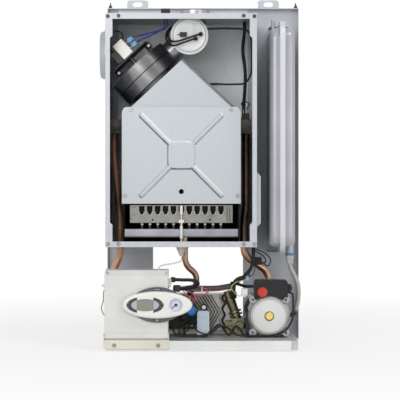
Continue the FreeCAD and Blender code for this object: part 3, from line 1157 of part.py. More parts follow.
def wiring():
    # black trunk under the chamber, cables in the chamber and along the tray, fan wires
    trunk = [("box_right + 12", -168, "box_top - 39"), ("box_right + 50", -167, "box_top - 40"),
             ("box_right + 98", -162, "box_top - 39"), ("box_right + 128", -160, "box_top - 34"),
             ("box_right + 146", -156, "box_top - 20"), ("box_right + 166", -148, "box_top - 1"),
             ("box_right + 170", -140, "floor - 22"), ("box_right + 170", -140, "floor - 0.4")]
    pump_lead = [("pump_shift - terminal_width / 2 + 2.6", "terminal_front + 22", "knob_z + 10"),
                 ("knob_x - 34", "terminal_front + 22", "knob_z + 10"),
                 ("knob_x - 50", "terminal_front + 8", "knob_z + 16"),
                 ("knob_x - 62", -163.8, "box_top - 28")]
    rear = "wall_right - 20"
    riser = [(rear, -60, "roof - 1.8"), (rear, -60, "roof - 22"), ("wall_right - 25", -62, "roof - 60"),
             ("wall_right - 18", -62, "roof - 105"), ("wall_right - 20", -60, "roof - 150"),
             ("wall_right - 22", -60, "header_top + 34"), ("wall_right - 22", -60, "header_top + 0.5")]
    front, left = "gas_front", "gas_left"
    tray_lead = [(f"{left} + 8", f"{front} - 10.4", "gas_foot + 18"),
                 (f"{left} + 8", f"{front} - 26", "gas_foot + 18"),
                 (f"{left} + 16", f"{front} - 33", "tray_top + 6"),
                 (f"{left} + 40", f"{front} - 32", "tray_top + 4"),
                 (f"{left} + 70", f"{front} - 32", "tray_top + 5"),
                 (f"{left} + 90", f"{front} - 28", "tray_top + 10"),
                 (f"{left} + 104", f"{front} - 22", "tray_top + 24"),
                 (f"{left} + 120", f"{front} - 20", "tray_top + 22"),
                 (f"{left} + 138", f"{front} - 22", "tray_top + 5"),
                 (f"{left} + 160", f"{front} - 24", "tray_top + 4"),
                 (f"{left} + 186", f"{front} - 23", "tray_top + 4"),
                 (f"{left} + 214", f"{front} - 22", "tray_top + 5"),
                 (f"{left} + 238", f"{front} - 21", "tray_top + 14"),
                 (f"{left} + 252", f"{front} - 14", "tray_top + 36"),
                 (f"{left} + 253", f"{front} - 6", "terminal_foot - 6"),
                 (f"{left} + 252", f"{front} - 4", "terminal_foot + 14"),
                 ("pump_shift + terminal_width / 2 + 3.7", f"{front} - 4", "terminal_foot + 16")]
    loom = [tube("trunk", trunk, 3.5), tube("pump lead", pump_lead, 3), tube("chamber riser", riser, 3.5),
            tube("tray lead", tray_lead, 2)]
    side = "core_wide / 2"
    for out, end in ((12, 40), (26, 46)):
        start_x, start_z = on_slope(f"{side} + 0.4", f"core_low + {out}")
        next_x, next_z = on_slope(f"{side} + 14", f"core_low + {out}")
        loom.append(tube(f"fan wire {end}", [
            (start_x, -146, start_z), (next_x, -146, next_z),
            (f"fan_x + {end}", -148, "roof - 24"),
            (f"fan_x + {end}", -148, "roof - chamber_sheet - 0.4")], 1.5))
    node("wiring_loom", group(*loom))
    level = "box_front + 37"
    bundle = [("box_right + 6.4", level, "box_top - 20"), ("box_right + 40", level, "box_top - 21"),
              ("box_right + 55", -182, "box_top - 28"), ("box_right + 42", -176, "box_top - 36"),
              ("box_right + 30", -175, "box_top - 38")]
    bottom = "floor - grommet_drop"
    spark = [("spark_x", "spark_y", f"{bottom} - 1.4"), ("spark_x", "spark_y", f"{bottom} - 9"),
             ("spark_x - 16", "spark_y - 2", f"{bottom} - 13"),
             ("spark_x - 42", "spark_y - 2", f"{bottom} - 8"),
             ("spark_x - 45", "spark_y - 2", "box_top + 0.4")]
    leads = [tube("control bundle", bundle, 3.5), tube("spark lead", spark, "lead_radius")]
    node("control_loom", group(*leads))


def fasteners():
    # heads of the chamber, panel and hinge screws, and the studs that hold the front cover
    heads = []
    front = "chamber_front"
    for x in ("wall_left + 5", "wall_right - 5"):
        for z in ("roof - 6", "floor + 6"):
            heads.append(rod((x, front, z), 3, 1.6, -Y))
    for x in ("wall_left + 26", "wall_right - 26"):
        for z in ("roof - 5", "floor + 6"):
            heads.append(rod((x, "chamber_front + chamber_sheet", z), 2.6, 1.6, -Y))
    panel_face = "stack_front - panel_sheet"
    for side in (-1, 1):
        heads.append(rod((f"chamber_shift + {side} * 99", panel_face, "panel_top - 6"), 3.4, 2, -Y))
        heads.append(rod((f"chamber_shift + {side} * 112", panel_face, "panel_foot + 16"), 3.4, 2, -Y))
        heads.append(rod((f"box_shift + {side} * 43", "tray_front - hinge_sheet", "frame_base + 9"), 3,
                         1.6, -Y))
        heads.append(turned([
            (0, 0), ("stud_radius", 0), ("stud_radius * 0.5", "stud_height"),
            ("stud_radius * 0.25", "stud_height"),
            ("stud_radius * 0.25", "stud_height + 5"), (0, "stud_height + 5"),
        ], (f"{side} * (frame_width / 2 - stud_inset)", "frame_face - frame_flange / 2", "frame_top")))
    node("case_screws", group(*heads))


back_frame()
tray()
hinge()
chamber()
grommets()
flue()
fan()
pressure_switch()
flue_hood()
combustion_panel()
combustion_box()
heat_exchanger()
burner()
pipes()
vessel()
pump()
hydraulics()
gas_train()
control_box()
control_panel()
wiring()
fasteners()
doc.recompute()

for obj in doc.Objects:
    if {"Invalid", "Error"} & set(obj.State):
        raise RuntimeError(f"{obj.Name} ({obj.Label}) failed: {obj.State}")
for obj in nodes:
    if obj.Shape.isNull() or not obj.Shape.isValid():
        raise RuntimeError(f"{obj.Label} has no valid shape")

os.makedirs("parts", exist_ok=True)
for obj in nodes:
    obj.Shape.exportStep(f"parts/{obj.Label}.step")
    box = obj.Shape.BoundBox
    print(f"{obj.Label}: {len(obj.Shape.Solids)} solids, {obj.Shape.Volume / 1000:.1f} cm3, "
          f"x {box.XMin:.1f}..{box.XMax:.1f}, y {box.YMin:.1f}..{box.YMax:.1f}, "
          f"z {box.ZMin:.1f}..{box.ZMax:.1f}")
print(len(nodes), "nodes")
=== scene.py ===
import json
import math

import bmesh
import bpy
from mathutils import Matrix, Vector


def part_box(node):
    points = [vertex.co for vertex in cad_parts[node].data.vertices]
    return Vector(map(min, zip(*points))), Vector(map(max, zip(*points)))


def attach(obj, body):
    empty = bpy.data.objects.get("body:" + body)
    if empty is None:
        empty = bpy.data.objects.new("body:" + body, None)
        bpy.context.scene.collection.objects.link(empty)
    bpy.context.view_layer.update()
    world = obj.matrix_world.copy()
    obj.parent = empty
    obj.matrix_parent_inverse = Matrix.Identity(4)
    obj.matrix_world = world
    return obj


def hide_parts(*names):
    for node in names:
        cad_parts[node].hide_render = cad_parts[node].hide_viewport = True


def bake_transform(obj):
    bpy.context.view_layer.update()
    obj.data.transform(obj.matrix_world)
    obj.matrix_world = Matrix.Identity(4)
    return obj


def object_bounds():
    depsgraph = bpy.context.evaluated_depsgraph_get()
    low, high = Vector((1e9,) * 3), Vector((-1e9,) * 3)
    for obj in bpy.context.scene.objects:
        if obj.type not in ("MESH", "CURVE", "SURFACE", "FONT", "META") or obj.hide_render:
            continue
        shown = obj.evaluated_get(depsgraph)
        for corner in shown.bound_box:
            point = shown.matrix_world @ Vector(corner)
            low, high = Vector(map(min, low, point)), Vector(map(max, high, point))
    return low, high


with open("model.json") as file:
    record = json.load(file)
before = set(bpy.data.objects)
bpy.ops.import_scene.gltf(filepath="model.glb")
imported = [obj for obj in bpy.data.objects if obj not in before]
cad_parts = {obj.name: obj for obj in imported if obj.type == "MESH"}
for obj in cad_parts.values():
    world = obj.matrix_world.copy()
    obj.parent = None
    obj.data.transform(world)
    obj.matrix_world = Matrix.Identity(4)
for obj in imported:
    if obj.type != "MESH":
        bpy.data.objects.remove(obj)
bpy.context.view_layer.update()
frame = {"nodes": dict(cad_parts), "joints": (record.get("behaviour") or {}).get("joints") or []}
nodes = frame["nodes"]
joints = {joint["name"]: joint for joint in frame["joints"]}
rightward, backward, upward = (1, 0, 0), (0, 1, 0), (0, 0, 1)
print("frame loaded with", len(nodes), "nodes")


def hexColour(text):  # display colour to linear light
    parts = [int(text[i:i + 2], 16) / 255 for i in (0, 2, 4)]
    return tuple(p / 12.92 if p <= 0.04045 else ((p + 0.055) / 1.055) ** 2.4 for p in parts) + (1.0,)


def mm(x, y, z):  # a place in mm, turned to metres
    return Vector((x, y, z)) / 1000


def boxOf(name):  # the two corners of a node, in mm
    return [corner * 1000 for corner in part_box(name)]


def middleOf(name):  # in metres
    return sum(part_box(name), Vector()) / 2


class Weave:  # adds nodes to a tree, with values or links on their sockets
    def __init__(self, tree):
        self.tree = tree

    def node(self, kind, sockets=None, **settings):
        made = self.tree.nodes.new(kind)
        for key, value in settings.items():
            setattr(made, key, value)
        for key, value in (sockets or {}).items():
            self.feed(made.inputs[key], value)
        return made

    def feed(self, socket, value):  # a link, a colour as text or a plain value
        if isinstance(value, bpy.types.NodeSocket):
            self.tree.links.new(value, socket)
        else:
            socket.default_value = hexColour(value) if isinstance(value, str) else value

    def maths(self, operation, first, second=0.0):
        return self.node("ShaderNodeMath", {0: first, 1: second}, operation=operation).outputs[0]

    def spread(self, value, low, high, toLow=0.0, toHigh=1.0):
        sockets = dict(enumerate((value, low, high, toLow, toHigh)))
        return self.node("ShaderNodeMapRange", sockets).outputs[0]

    def seen(self):  # 1 on what the camera sees, also in a gloss or through glass
        path = self.node("ShaderNodeLightPath").outputs
        glossy = self.maths("MAXIMUM", path["Is Glossy Ray"], path["Is Transmission Ray"])
        return self.maths("MAXIMUM", path["Is Camera Ray"], glossy)


class Finish(Weave):  # a material on the piece's own coordinates
    def __init__(self, name, roughness=0.5, metallic=0.0, sockets=None):
        self.material = bpy.data.materials.new(name)
        self.material.use_nodes = True
        super().__init__(self.material.node_tree)
        self.shader = self.tree.nodes["Principled BSDF"]
        self.place = self.node("ShaderNodeTexCoord").outputs["Object"]
        for socket, value in dict(sockets or {}, Roughness=roughness, Metallic=metallic).items():
            self.set(socket, value)

    def set(self, socket, value):
        self.feed(self.shader.inputs[socket], value)

    def colour(self, value):
        self.set("Base Color", value)

    def rough(self, pattern, atLow, atHigh, low=0.3, high=0.7):
        self.set("Roughness", self.spread(pattern, low, high, atLow, atHigh))

    def bump(self, height, strength, distance):
        sockets = {"Strength": strength, "Distance": distance, "Height": height}
        self.set("Normal", self.node("ShaderNodeBump", sockets).outputs["Normal"])

    def mapped(self, scale, turn=(0, 0, 0)):
        sockets = {"Vector": self.place, "Rotation": turn, "Scale": tuple(1 / s for s in scale)}
        return self.node("ShaderNodeMapping", sockets, vector_type="TEXTURE").outputs["Vector"]

    def noise(self, scale, detail=3.0, rough=0.55, vector=None):
        sockets = {"Vector": vector or self.place, "Scale": scale, "Detail": detail, "Roughness": rough}
        return self.node("ShaderNodeTexNoise", sockets).outputs["Fac"]

    def wave(self, scale, direction, vector=None, distortion=0.0):
        sockets = {"Vector": vector or self.place, "Scale": scale, "Distortion": distortion}
        return self.node("ShaderNodeTexWave", sockets, bands_direction=direction).outputs["Fac"]

    def spangle(self, scale):  # a grey for each crystal of the zinc
        cells = self.node("ShaderNodeTexVoronoi", {"Vector": self.place, "Scale": scale})
        return self.node("ShaderNodeRGBToBW", {0: cells.outputs["Color"]}).outputs[0]

    def clouded(self, tone, share):  # that grey with soft clouds over it
        cloud = self.maths("MULTIPLY", self.noise(7.0, 4.0), 1 - share)
        return self.maths("ADD", self.maths("MULTIPLY", tone, share), cloud)

    def along(self, axis, origin=(0, 0, 0)):  # distance along an axis from a point, in metres
        shifted = self.node("ShaderNodeVectorMath", {0: self.place, 1: origin}, operation="SUBTRACT")
        sockets = {0: shifted.outputs[0], 1: axis}
        return self.node("ShaderNodeVectorMath", sockets, operation="DOT_PRODUCT").outputs["Value"]

    def between(self, value, low, high, soft=0.0004):
        rise = self.spread(value, low - soft, low + soft)
        fall = self.spread(value, high - soft, high + soft, 1.0, 0.0)
        return self.maths("MULTIPLY", rise, fall)

    def blend(self, factor, first, second):
        return self.node("ShaderNodeMix", {0: factor, 6: first, 7: second}, data_type="RGBA").outputs[2]

    def mottle(self, pattern, first, second, low=0.3, high=0.7):  # from one colour to another with a pattern
        return self.blend(self.spread(pattern, low, high), first, second)


def zincFinish(name, dark, light, roughness, metallic=0.35, grain=90.0):  # spangled zinc sheet
    made = Finish(name, metallic=metallic)
    tone = made.spangle(grain)
    made.colour(made.blend(made.clouded(tone, 0.35), dark, light))
    made.rough(tone, roughness - 0.05, roughness + 0.08, 0.0, 1.0)
    made.bump(made.noise(900.0, 2.0), 0.06, 0.0002)
    return made.material


frameLook = {"paintedLight": ("e4e6e9", "f4f5f7"), "dull": ("b4b7bc", "c6c9ce"), "grain": 90.0,
             "sides": (-0.178, 0.094), "top": -0.012, "face": (-0.0012, -0.0008)}  # finishes take metres


def frameFinish(name):  # zinc back sheet, painted lighter inside the chamber to stand in for light on its back wall, a duller grey outside it
    made = Finish(name, metallic=0.18)
    tone = made.spangle(frameLook["grain"])
    mixed = made.clouded(tone, 0.4)
    side = made.between(made.along(rightward), *frameLook["sides"])
    height = made.between(made.along(upward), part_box("chamber_floor")[0].z, frameLook["top"])
    front = made.spread(made.along(backward), *frameLook["face"], 1.0, 0.0)
    # painted light: the chamber area of the back wall takes the lighter zinc
    inside = made.maths("MULTIPLY", made.maths("MULTIPLY", side, front), height)
    dull = made.blend(mixed, *frameLook["dull"])
    made.colour(made.blend(inside, dull, made.blend(mixed, *frameLook["paintedLight"])))
    made.rough(tone, 0.38, 0.5, 0.0, 1.0)
    made.bump(made.noise(900.0, 2.0), 0.06, 0.0002)
    return made.material


def paintFinish(name, colour, shade):  # paint with a fine orange peel
    made = Finish(name)
    made.colour(made.mottle(made.noise(9.0, 5.0), shade, colour, 0.35, 0.65))
    made.rough(made.noise(40.0), 0.35, 0.46)
    made.bump(made.noise(700.0, 2.0), 0.06, 0.0002)
    return made.material


def brushedFinish(name, dark, light, stretch, roughness, metallic):  # drawn lines along one way
    made = Finish(name, metallic=metallic)
    lines = made.noise(60.0, 6.0, 0.65, made.mapped(stretch))
    made.colour(made.mottle(lines, dark, light))
    made.rough(lines, roughness - 0.06, roughness + 0.1, 0.25, 0.75)
    made.bump(lines, 0.08, 0.0002)
    return made.material


def mouldedFinish(name, colour, shade, roughness, grain=1400.0, strength=0.12, gloss=0.5):  # moulded plastic
    made = Finish(name, sockets={"Specular IOR Level": gloss})
    made.colour(made.mottle(made.noise(25.0, 4.0), shade, colour))
    made.rough(made.noise(120.0), roughness - 0.06, roughness + 0.08)
    made.bump(made.noise(grain, 1.0), strength, 0.00015)
    return made.material


def castFinish(name, dark, light, roughness, metallic):  # grainy casting, sheet or board
    made = Finish(name, metallic=metallic)
    grain = made.noise(260.0, 4.0, 0.6)
    made.colour(made.mottle(made.noise(22.0, 4.0), dark, light))
    made.rough(grain, roughness - 0.1, roughness + 0.1)
    made.bump(grain, 0.25, 0.0006)
    return made.material


def woundFinish(name, dark, light, turns, direction, distortion, strength):  # tape or sleeve wound round
    made = Finish(name)
    wraps = made.wave(turns, direction, distortion=distortion)
    made.colour(made.blend(wraps, dark, light))
    made.bump(wraps, strength, 0.0006)
    return made.material


def patinaFinish(name, bright, brown, dull, roughness, sooty=None, metal=1.0):  # stained copper or brass
    made = Finish(name, metallic=metal)
    stain = made.noise(24.0, 6.0, 0.72, made.mapped((1.0, 1.0, 0.45)))
    fine = made.noise(230.0, 3.0)
    base = made.mottle(stain, brown, bright, 0.38, 0.66)
    base = made.blend(made.spread(fine, 0.55, 0.8, 0.0, 0.5), base, dull)
    if sooty:  # a darkened stretch between two heights
        band = made.between(made.along(upward), *sooty, 0.025)
        soot = made.maths("MULTIPLY", band, made.spread(stain, 0.3, 0.7, 0.95, 0.6))
        base = made.blend(soot, base, "2b2522")
    made.colour(base)
    made.rough(stain, roughness + 0.2, roughness)
    made.bump(fine, 0.05, 0.0002)
    return made.material


fanAxis = Vector(joints["fan_spin"]["axis"])
fanCentre = Vector(joints["fan_spin"]["pos_m"])
fanAlong = Vector((fanAxis.z, 0, -fanAxis.x))  # up the slope of the hood
fanTurn = Matrix((fanAlong, backward, fanAxis)).transposed()


def onFan(along, y, out):  # a place in the fan's own frame, in mm
    return fanCentre * 1000 + fanAlong * along + Vector((0, y, 0)) + fanAxis * out


def fanShellFinish(name):  # clouded steel with spun lines round the fan's axis
    made = Finish(name, metallic=1.0)
    lines = made.noise(45.0, 6.0, 0.6, made.mapped((0.5, 0.5, 9.0), (0, math.atan2(fanAxis.x, fanAxis.z), 0)))
    made.colour(made.mottle(made.noise(16.0, 3.0), "5f5f60", "969697"))
    made.rough(lines, 0.24, 0.4, 0.25, 0.75)
    made.bump(lines, 0.05, 0.0002)
    return made.material


motorLook = {"half": 0.0135, "out": (0.0462, 0.09), "rim": 0.0115, "rimSoft": 0.0008, "layers": 3900.0}


def fanMotorFinish(name):  # bright stack on a dark bracket with posts
    made = Finish(name)
    across = made.along(fanAlong, fanCentre)
    out = made.along(fanAxis, fanCentre)
    half, rim = motorLook["half"], motorLook["rim"]
    stack = made.maths("MULTIPLY", made.between(across, -half, half), made.between(out, *motorLook["out"]))
    layers = made.maths("SINE", made.maths("MULTIPLY", across, motorLook["layers"]))
    metal = made.mottle(layers, "a09e9a", "cbc8c4", -1.0, 1.0)
    metal = made.blend(made.between(across, -rim, rim, motorLook["rimSoft"]), "4a4846", metal)
    dark = made.mottle(made.noise(60.0), "1c1c1d", "3b3a3a", 0.35, 0.65)
    made.colour(made.blend(stack, dark, metal))
    made.set("Metallic", made.spread(stack, 0.0, 1.0, 0.2, 0.75))
    made.rough(stack, 0.42, 0.38, 0.0, 1.0)
    made.bump(made.maths("MULTIPLY", layers, 0.3), 0.15, 0.0003)
    return made.material


vesselLook = {"seamIn": 0.0265, "seamHalf": 0.0055}


def vesselFinish(name):  # grey paint with a brighter folded seam
    made = Finish(name, metallic=0.25)
    paint = made.mottle(made.noise(6.0, 4.0), "a5a7ad", "b8bac0", 0.35, 0.65)
    middle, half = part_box("expansion_vessel")[1].x - vesselLook["seamIn"], vesselLook["seamHalf"]
    seam = made.between(made.along(rightward), middle - half, middle + half)
    made.colour(made.blend(seam, paint, "cfcfd3"))
    made.rough(made.noise(60.0), 0.28, 0.36)
    made.bump(made.noise(90.0, 2.0), 0.03, 0.0003)
    return made.material


wireLook = {"fanSide": (-0.055, -0.05), "fanHeight": (-0.2, -0.19)}


def wireFinish(name):  # black insulation, violet-blue on the two fan wires
    made = Finish(name, 0.45, sockets={"Specular IOR Level": 0.25})
    left = made.spread(made.along(rightward), *wireLook["fanSide"], 1.0, 0.0)
    fanArea = made.maths("MULTIPLY", left, made.spread(made.along(upward), *wireLook["fanHeight"]))
    black = made.mottle(made.noise(90.0), "121213", "222223")
    made.colour(made.blend(fanArea, black, "3d3f96"))
    made.bump(made.wave(420.0, "Z", distortion=0.4), 0.06, 0.0003)
    return made.material


hoseLook = {"braid": 330.0, "foot": (-0.640, -0.632)}


def hoseFinish(name):  # braided sleeve with a darker rubber foot
    made = Finish(name, metallic=0.3)
    one = made.wave(hoseLook["braid"], "DIAGONAL")
    braid = made.maths("MULTIPLY", one, made.wave(hoseLook["braid"], "DIAGONAL", made.mapped((-1, 1, 1))))
    foot = made.spread(made.along(upward), *hoseLook["foot"], 1.0, 0.0)
    made.colour(made.blend(foot, made.blend(braid, "a9a69e", "e0ddd5"), "2b2a29"))
    made.rough(braid, 0.55, 0.38, 0.0, 1.0)
    made.bump(braid, 0.35, 0.0005)
    return made.material


faceLook = {"displayField": (0.0164, 0.0168), "dialRim": (0.0115, 0.0119)}


def displayFinish(name):  # grey glass with a lilac field at each end
    made = Finish(name, 0.16, sockets={"Coat Weight": 0.4})
    side = made.maths("ABSOLUTE", made.along(rightward, middleOf("lcd_screen")))
    grey = made.mottle(made.wave(700.0, "X"), "85847c", "939189", 0.0, 1.0)
    made.colour(made.mottle(side, grey, "b4b8c6", *faceLook["displayField"]))
    return made.material


def dialFinish(name):  # pale lilac face with a greyer rim
    made = Finish(name, 0.3, sockets={"Coat Weight": 0.3})
    sides = [made.along(axis, middleOf("gauge_case")) for axis in (rightward, upward)]
    radius = made.maths("SQRT", made.maths("ADD", *[made.maths("MULTIPLY", side, side) for side in sides]))
    face = made.mottle(made.noise(60.0), "d5d5ea", "dfdff0")
    made.colour(made.mottle(radius, face, "c9c9d2", *faceLook["dialRim"]))
    return made.material


manifoldLook = {"tip": (-0.004, -0.0035), "bar": (-0.0112, -0.0108)}  # heights under the injector tips


def manifoldFinish(name):  # bare bar with dark injectors that have bright tips
    made = Finish(name, metallic=0.55)
    height = made.along(upward, (0, 0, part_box("gas_manifold")[1].z))
    bar = made.mottle(made.noise(30.0, 4.0), "8d8e95", "a6a7ae")
    injector = made.mottle(height, "3a3936", "c9c7bf", *manifoldLook["tip"])
    made.colour(made.mottle(height, bar, injector, *manifoldLook["bar"]))
    made.rough(made.noise(160.0), 0.32, 0.48)
    made.bump(made.noise(500.0, 2.0), 0.06, 0.0002)
    return made.material


def exchangerFinish(name):  # copper fins between sooty end boxes
    made = Finish(name, metallic=0.8)
    low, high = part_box("combustion_box")
    stain = made.noise(40.0, 5.0, 0.65)
    fins = made.mottle(stain, "6f4a36", "a8714f", 0.35, 0.65)
    soot = made.mottle(stain, "232120", "46413d", 0.35, 0.65)
    made.colour(made.blend(made.between(made.along(rightward), low.x, high.x), soot, fins))
    made.rough(stain, 0.52, 0.38)
    made.bump(stain, 0.1, 0.0003)
    return made.material


hoodLook = {"plateCorner": (58.0, 0.0, -224.8), "edgeStart": (58.3, -183.6, -224.8),
            "edgeSize": (4.2, 0.8, 137.8),
            "beyond": (0.0001, 0.0005), "above": (0.0002, 0.0006)}  # these two in metres


def hoodFinish(name):  # pale drawn sheet, with the set-back roof edge darker as painted shade
    made = Finish(name, metallic=0.3)
    lines = made.noise(60.0, 6.0, 0.65, made.mapped((1.0, 1.0, 14.0)))
    corner = mm(*hoodLook["plateCorner"])
    # painted shade: beyond the plate's right slope and above its corner
    beyond = made.spread(made.along((-fanAxis.x, 0, fanAxis.z), corner), *hoodLook["beyond"])
    edge = made.maths("MULTIPLY", beyond, made.spread(made.along(upward, corner), *hoodLook["above"]))
    made.colour(made.blend(edge, made.mottle(lines, "a9afb3", "b9bfc2"), "55595d"))
    made.rough(lines, 0.36, 0.52, 0.25, 0.75)
    made.bump(lines, 0.08, 0.0002)
    return made.material


beadLook = {"light": (0.42, 0.0, 0.9), "lower": (-0.55, -0.1), "upper": (0.1, 0.55)}


def beadFinish(name):  # panel sheet with stretched lines, a painted highlight on the upper flanks and painted shade on the lower ones
    made = Finish(name, metallic=0.3)
    sockets = {0: made.node("ShaderNodeNewGeometry").outputs["Normal"], 1: beadLook["light"]}
    lean = made.node("ShaderNodeVectorMath", sockets, operation="DOT_PRODUCT").outputs["Value"]
    lines = made.noise(60.0, 6.0, 0.65, made.mapped((14.0, 1.0, 1.0)))
    shadedFlanks = made.mottle(lean, "757a7e", made.mottle(lines, "b2b7bb", "bcc1c4"), *beadLook["lower"])
    made.colour(made.mottle(lean, shadedFlanks, "e3e7ea", *beadLook["upper"]))
    made.rough(lines, 0.36, 0.5, 0.25, 0.75)
    return made.material


studLook = {"stud": (-0.0125, -0.0115), "rail": (-0.062, -0.03)}


def screwFinish(name):  # zinc screws, darker along the top rail, with black cover studs on top of the chassis
    made = Finish(name)
    height = made.along(upward)
    stud = made.spread(height, *studLook["stud"])
    zinc = made.mottle(made.noise(400.0), "8e8f92", "c2c3c6")
    zinc = made.blend(made.between(height, *studLook["rail"]), zinc, "4a4b4e")
    made.colour(made.blend(stud, zinc, "1b1b1c"))
    made.set("Metallic", made.spread(stud, 0.0, 1.0, 0.9, 0.0))
    made.rough(made.noise(300.0), 0.28, 0.42)
    return made.material


def electrodeFinish(name):  # glazed ceramic, faintly ribbed
    made = Finish(name, 0.25)
    made.colour(made.mottle(made.noise(500.0, 2.0), "efece4", "dcd6c8", 0.4, 0.7))
    made.bump(made.wave(260.0, "Z"), 0.1, 0.0003)
    return made.material


finishTable = {  # what makes each finish, and its settings
    "frameZinc": (frameFinish,),
    "trayZinc": (zincFinish, "b4b6b4", "cbcdca", 0.36),
    "chamberZinc": (zincFinish, "aeb2b7", "c6c9cd", 0.4, 0.25, 160.0),
    "railPaint": (paintFinish, "e9ebe9", "dde0de"),
    "stripPaint": (paintFinish, "e3e0d3", "d7d3c4"),
    "hoodSheet": (hoodFinish,),
    "beadSheet": (beadFinish,),
    "panelSheet": (brushedFinish, "b2b7bb", "bcc1c4", (14.0, 1.0, 1.0), 0.42, 0.3),
    "boxSheet": (brushedFinish, "6f7072", "8b8c8e", (1.0, 8.0, 1.0), 0.45, 0.6),
    "burnerSheet": (castFinish, "74736e", "96958f", 0.45, 0.4),
    "bladeSteel": (castFinish, "0c0c0c", "1b1a1a", 0.7, 0.2),
    "screwZinc": (screwFinish,),
    "fanShellSteel": (fanShellFinish,),
    "ductSteel": (brushedFinish, "8c8d90", "c3c5c8", (1.0, 1.0, 6.0), 0.3, 0.85),
    "manifoldAlloy": (manifoldFinish,),
    "fanMotorSteel": (fanMotorFinish,),
    "coilTape": (woundFinish, "514d4a", "7d7874", 180.0, "Y", 0.6, 0.3),
    "switchShell": (mouldedFinish, "eff0ee", "e2e4e3", 0.36),
    "tubeRubber": (mouldedFinish, "202021", "131314", 0.5, 700.0, 0.1, 0.25),
    "copper": (patinaFinish, "cba68c", "8a6a58", "4a3c34", 0.24),
    "flowCopper": (patinaFinish, "d3a485", "a0775d", "5b463a", 0.26, (-0.44, -0.39), 0.4),
    "returnCopper": (patinaFinish, "dab59c", "a5826d", "5c4a40", 0.26, (-0.47, -0.2)),
    "finCopper": (exchangerFinish,),
    "brass": (patinaFinish, "8e8a72", "57543f", "2a2822", 0.34),
    "plugBrass": (patinaFinish, "efd98a", "dcc06a", "a58c4c", 0.28),
    "fibreBoard": (castFinish, "d6d2c6", "e6e3d9", 0.9, 0.0),
    "electrodeCeramic": (electrodeFinish,),
    "grommetRubber": (mouldedFinish, "cbc7bb", "b3ae9f", 0.55, 900.0),
    "vesselPaint": (vesselFinish,),
    "braidedHose": (hoseFinish,),
    "pumpIron": (castFinish, "2a2a2b", "47474a", 0.55, 0.3),
    "pumpAlloy": (castFinish, "9a9b9b", "bdbdbc", 0.42, 0.6),
    "blackMoulding": (mouldedFinish, "262627", "19191a", 0.45, 1400.0, 0.12, 0.3),
    "redMoulding": (mouldedFinish, "d8402b", "c23523", 0.32, 900.0, 0.05),
    "blueMoulding": (mouldedFinish, "3a8ad6", "2a74bf", 0.35, 900.0, 0.06),
    "diverterMoulding": (mouldedFinish, "c6d3e0", "b2c1d0", 0.4),
    "boxMoulding": (mouldedFinish, "e2e2df", "d8d8d5", 0.46, 1100.0, 0.08),
    "ovalMoulding": (mouldedFinish, "5e6163", "505355", 0.4),
    "bezelMoulding": (mouldedFinish, "f1f0eb", "e7e6e0", 0.3, 800.0, 0.04),
    "rockerMoulding": (mouldedFinish, "414243", "343536", 0.38),
    "displayGlass": (displayFinish,),
    "gaugeDial": (dialFinish,),
    "plateSteel": (brushedFinish, "9c9b92", "bfbeb5", (1.0, 1.0, 5.0), 0.34, 0.5),
    # burner blades near black and matt as painted shade inside the slots
    "bladeDark": (mouldedFinish, "161617", "0c0c0d", 0.7, 300.0, 0.05, 0.1),
    # painted shade for the hood's set-back strip
    "seamSteel": (castFinish, "55585b", "74787b", 0.45, 0.4),
    # painted shade in the grooves of the plate exchanger
    "plateGroove": (castFinish, "2f2e28", "46453b", 0.5, 0.2),
    "boardGreen": (mouldedFinish, "2f6b3c", "27592f", 0.5, 300.0),
    "loomWire": (wireFinish,),
    "loomWrap": (woundFinish, "2a2528", "4c4348", 190.0, "X", 0.3, 0.35),
    "sparkSilicone": (mouldedFinish, "e9e8e4", "d8d6d0", 0.35, 700.0, 0.05),
    "cyanMoulding": (mouldedFinish, "7fb9dc", "66a4ca", 0.38, 900.0, 0.06),
    "whiteMoulding": (mouldedFinish, "eeeeec", "dededb", 0.36, 900.0, 0.05),
    "labelFilm": (mouldedFinish, "e2e2e0", "d6d6d4", 0.42, 500.0, 0.02),
    "ringInk": (mouldedFinish, "b9bab9", "adaead", 0.45, 500.0, 0.02),
    "redWire": (mouldedFinish, "cf7078", "b95c65", 0.4, 700.0, 0.04),
    "yellowWire": (mouldedFinish, "cfc65a", "a8a040", 0.4, 700.0, 0.04),
    "lightMark": (mouldedFinish, "d6d8d6", "c3c5c3", 0.5, 700.0, 0.02),
    "darkMark": (mouldedFinish, "2d2d30", "242427", 0.45, 700.0, 0.02),
}
finishes = {name: make(name, *settings) for name, (make, *settings) in finishTable.items()}
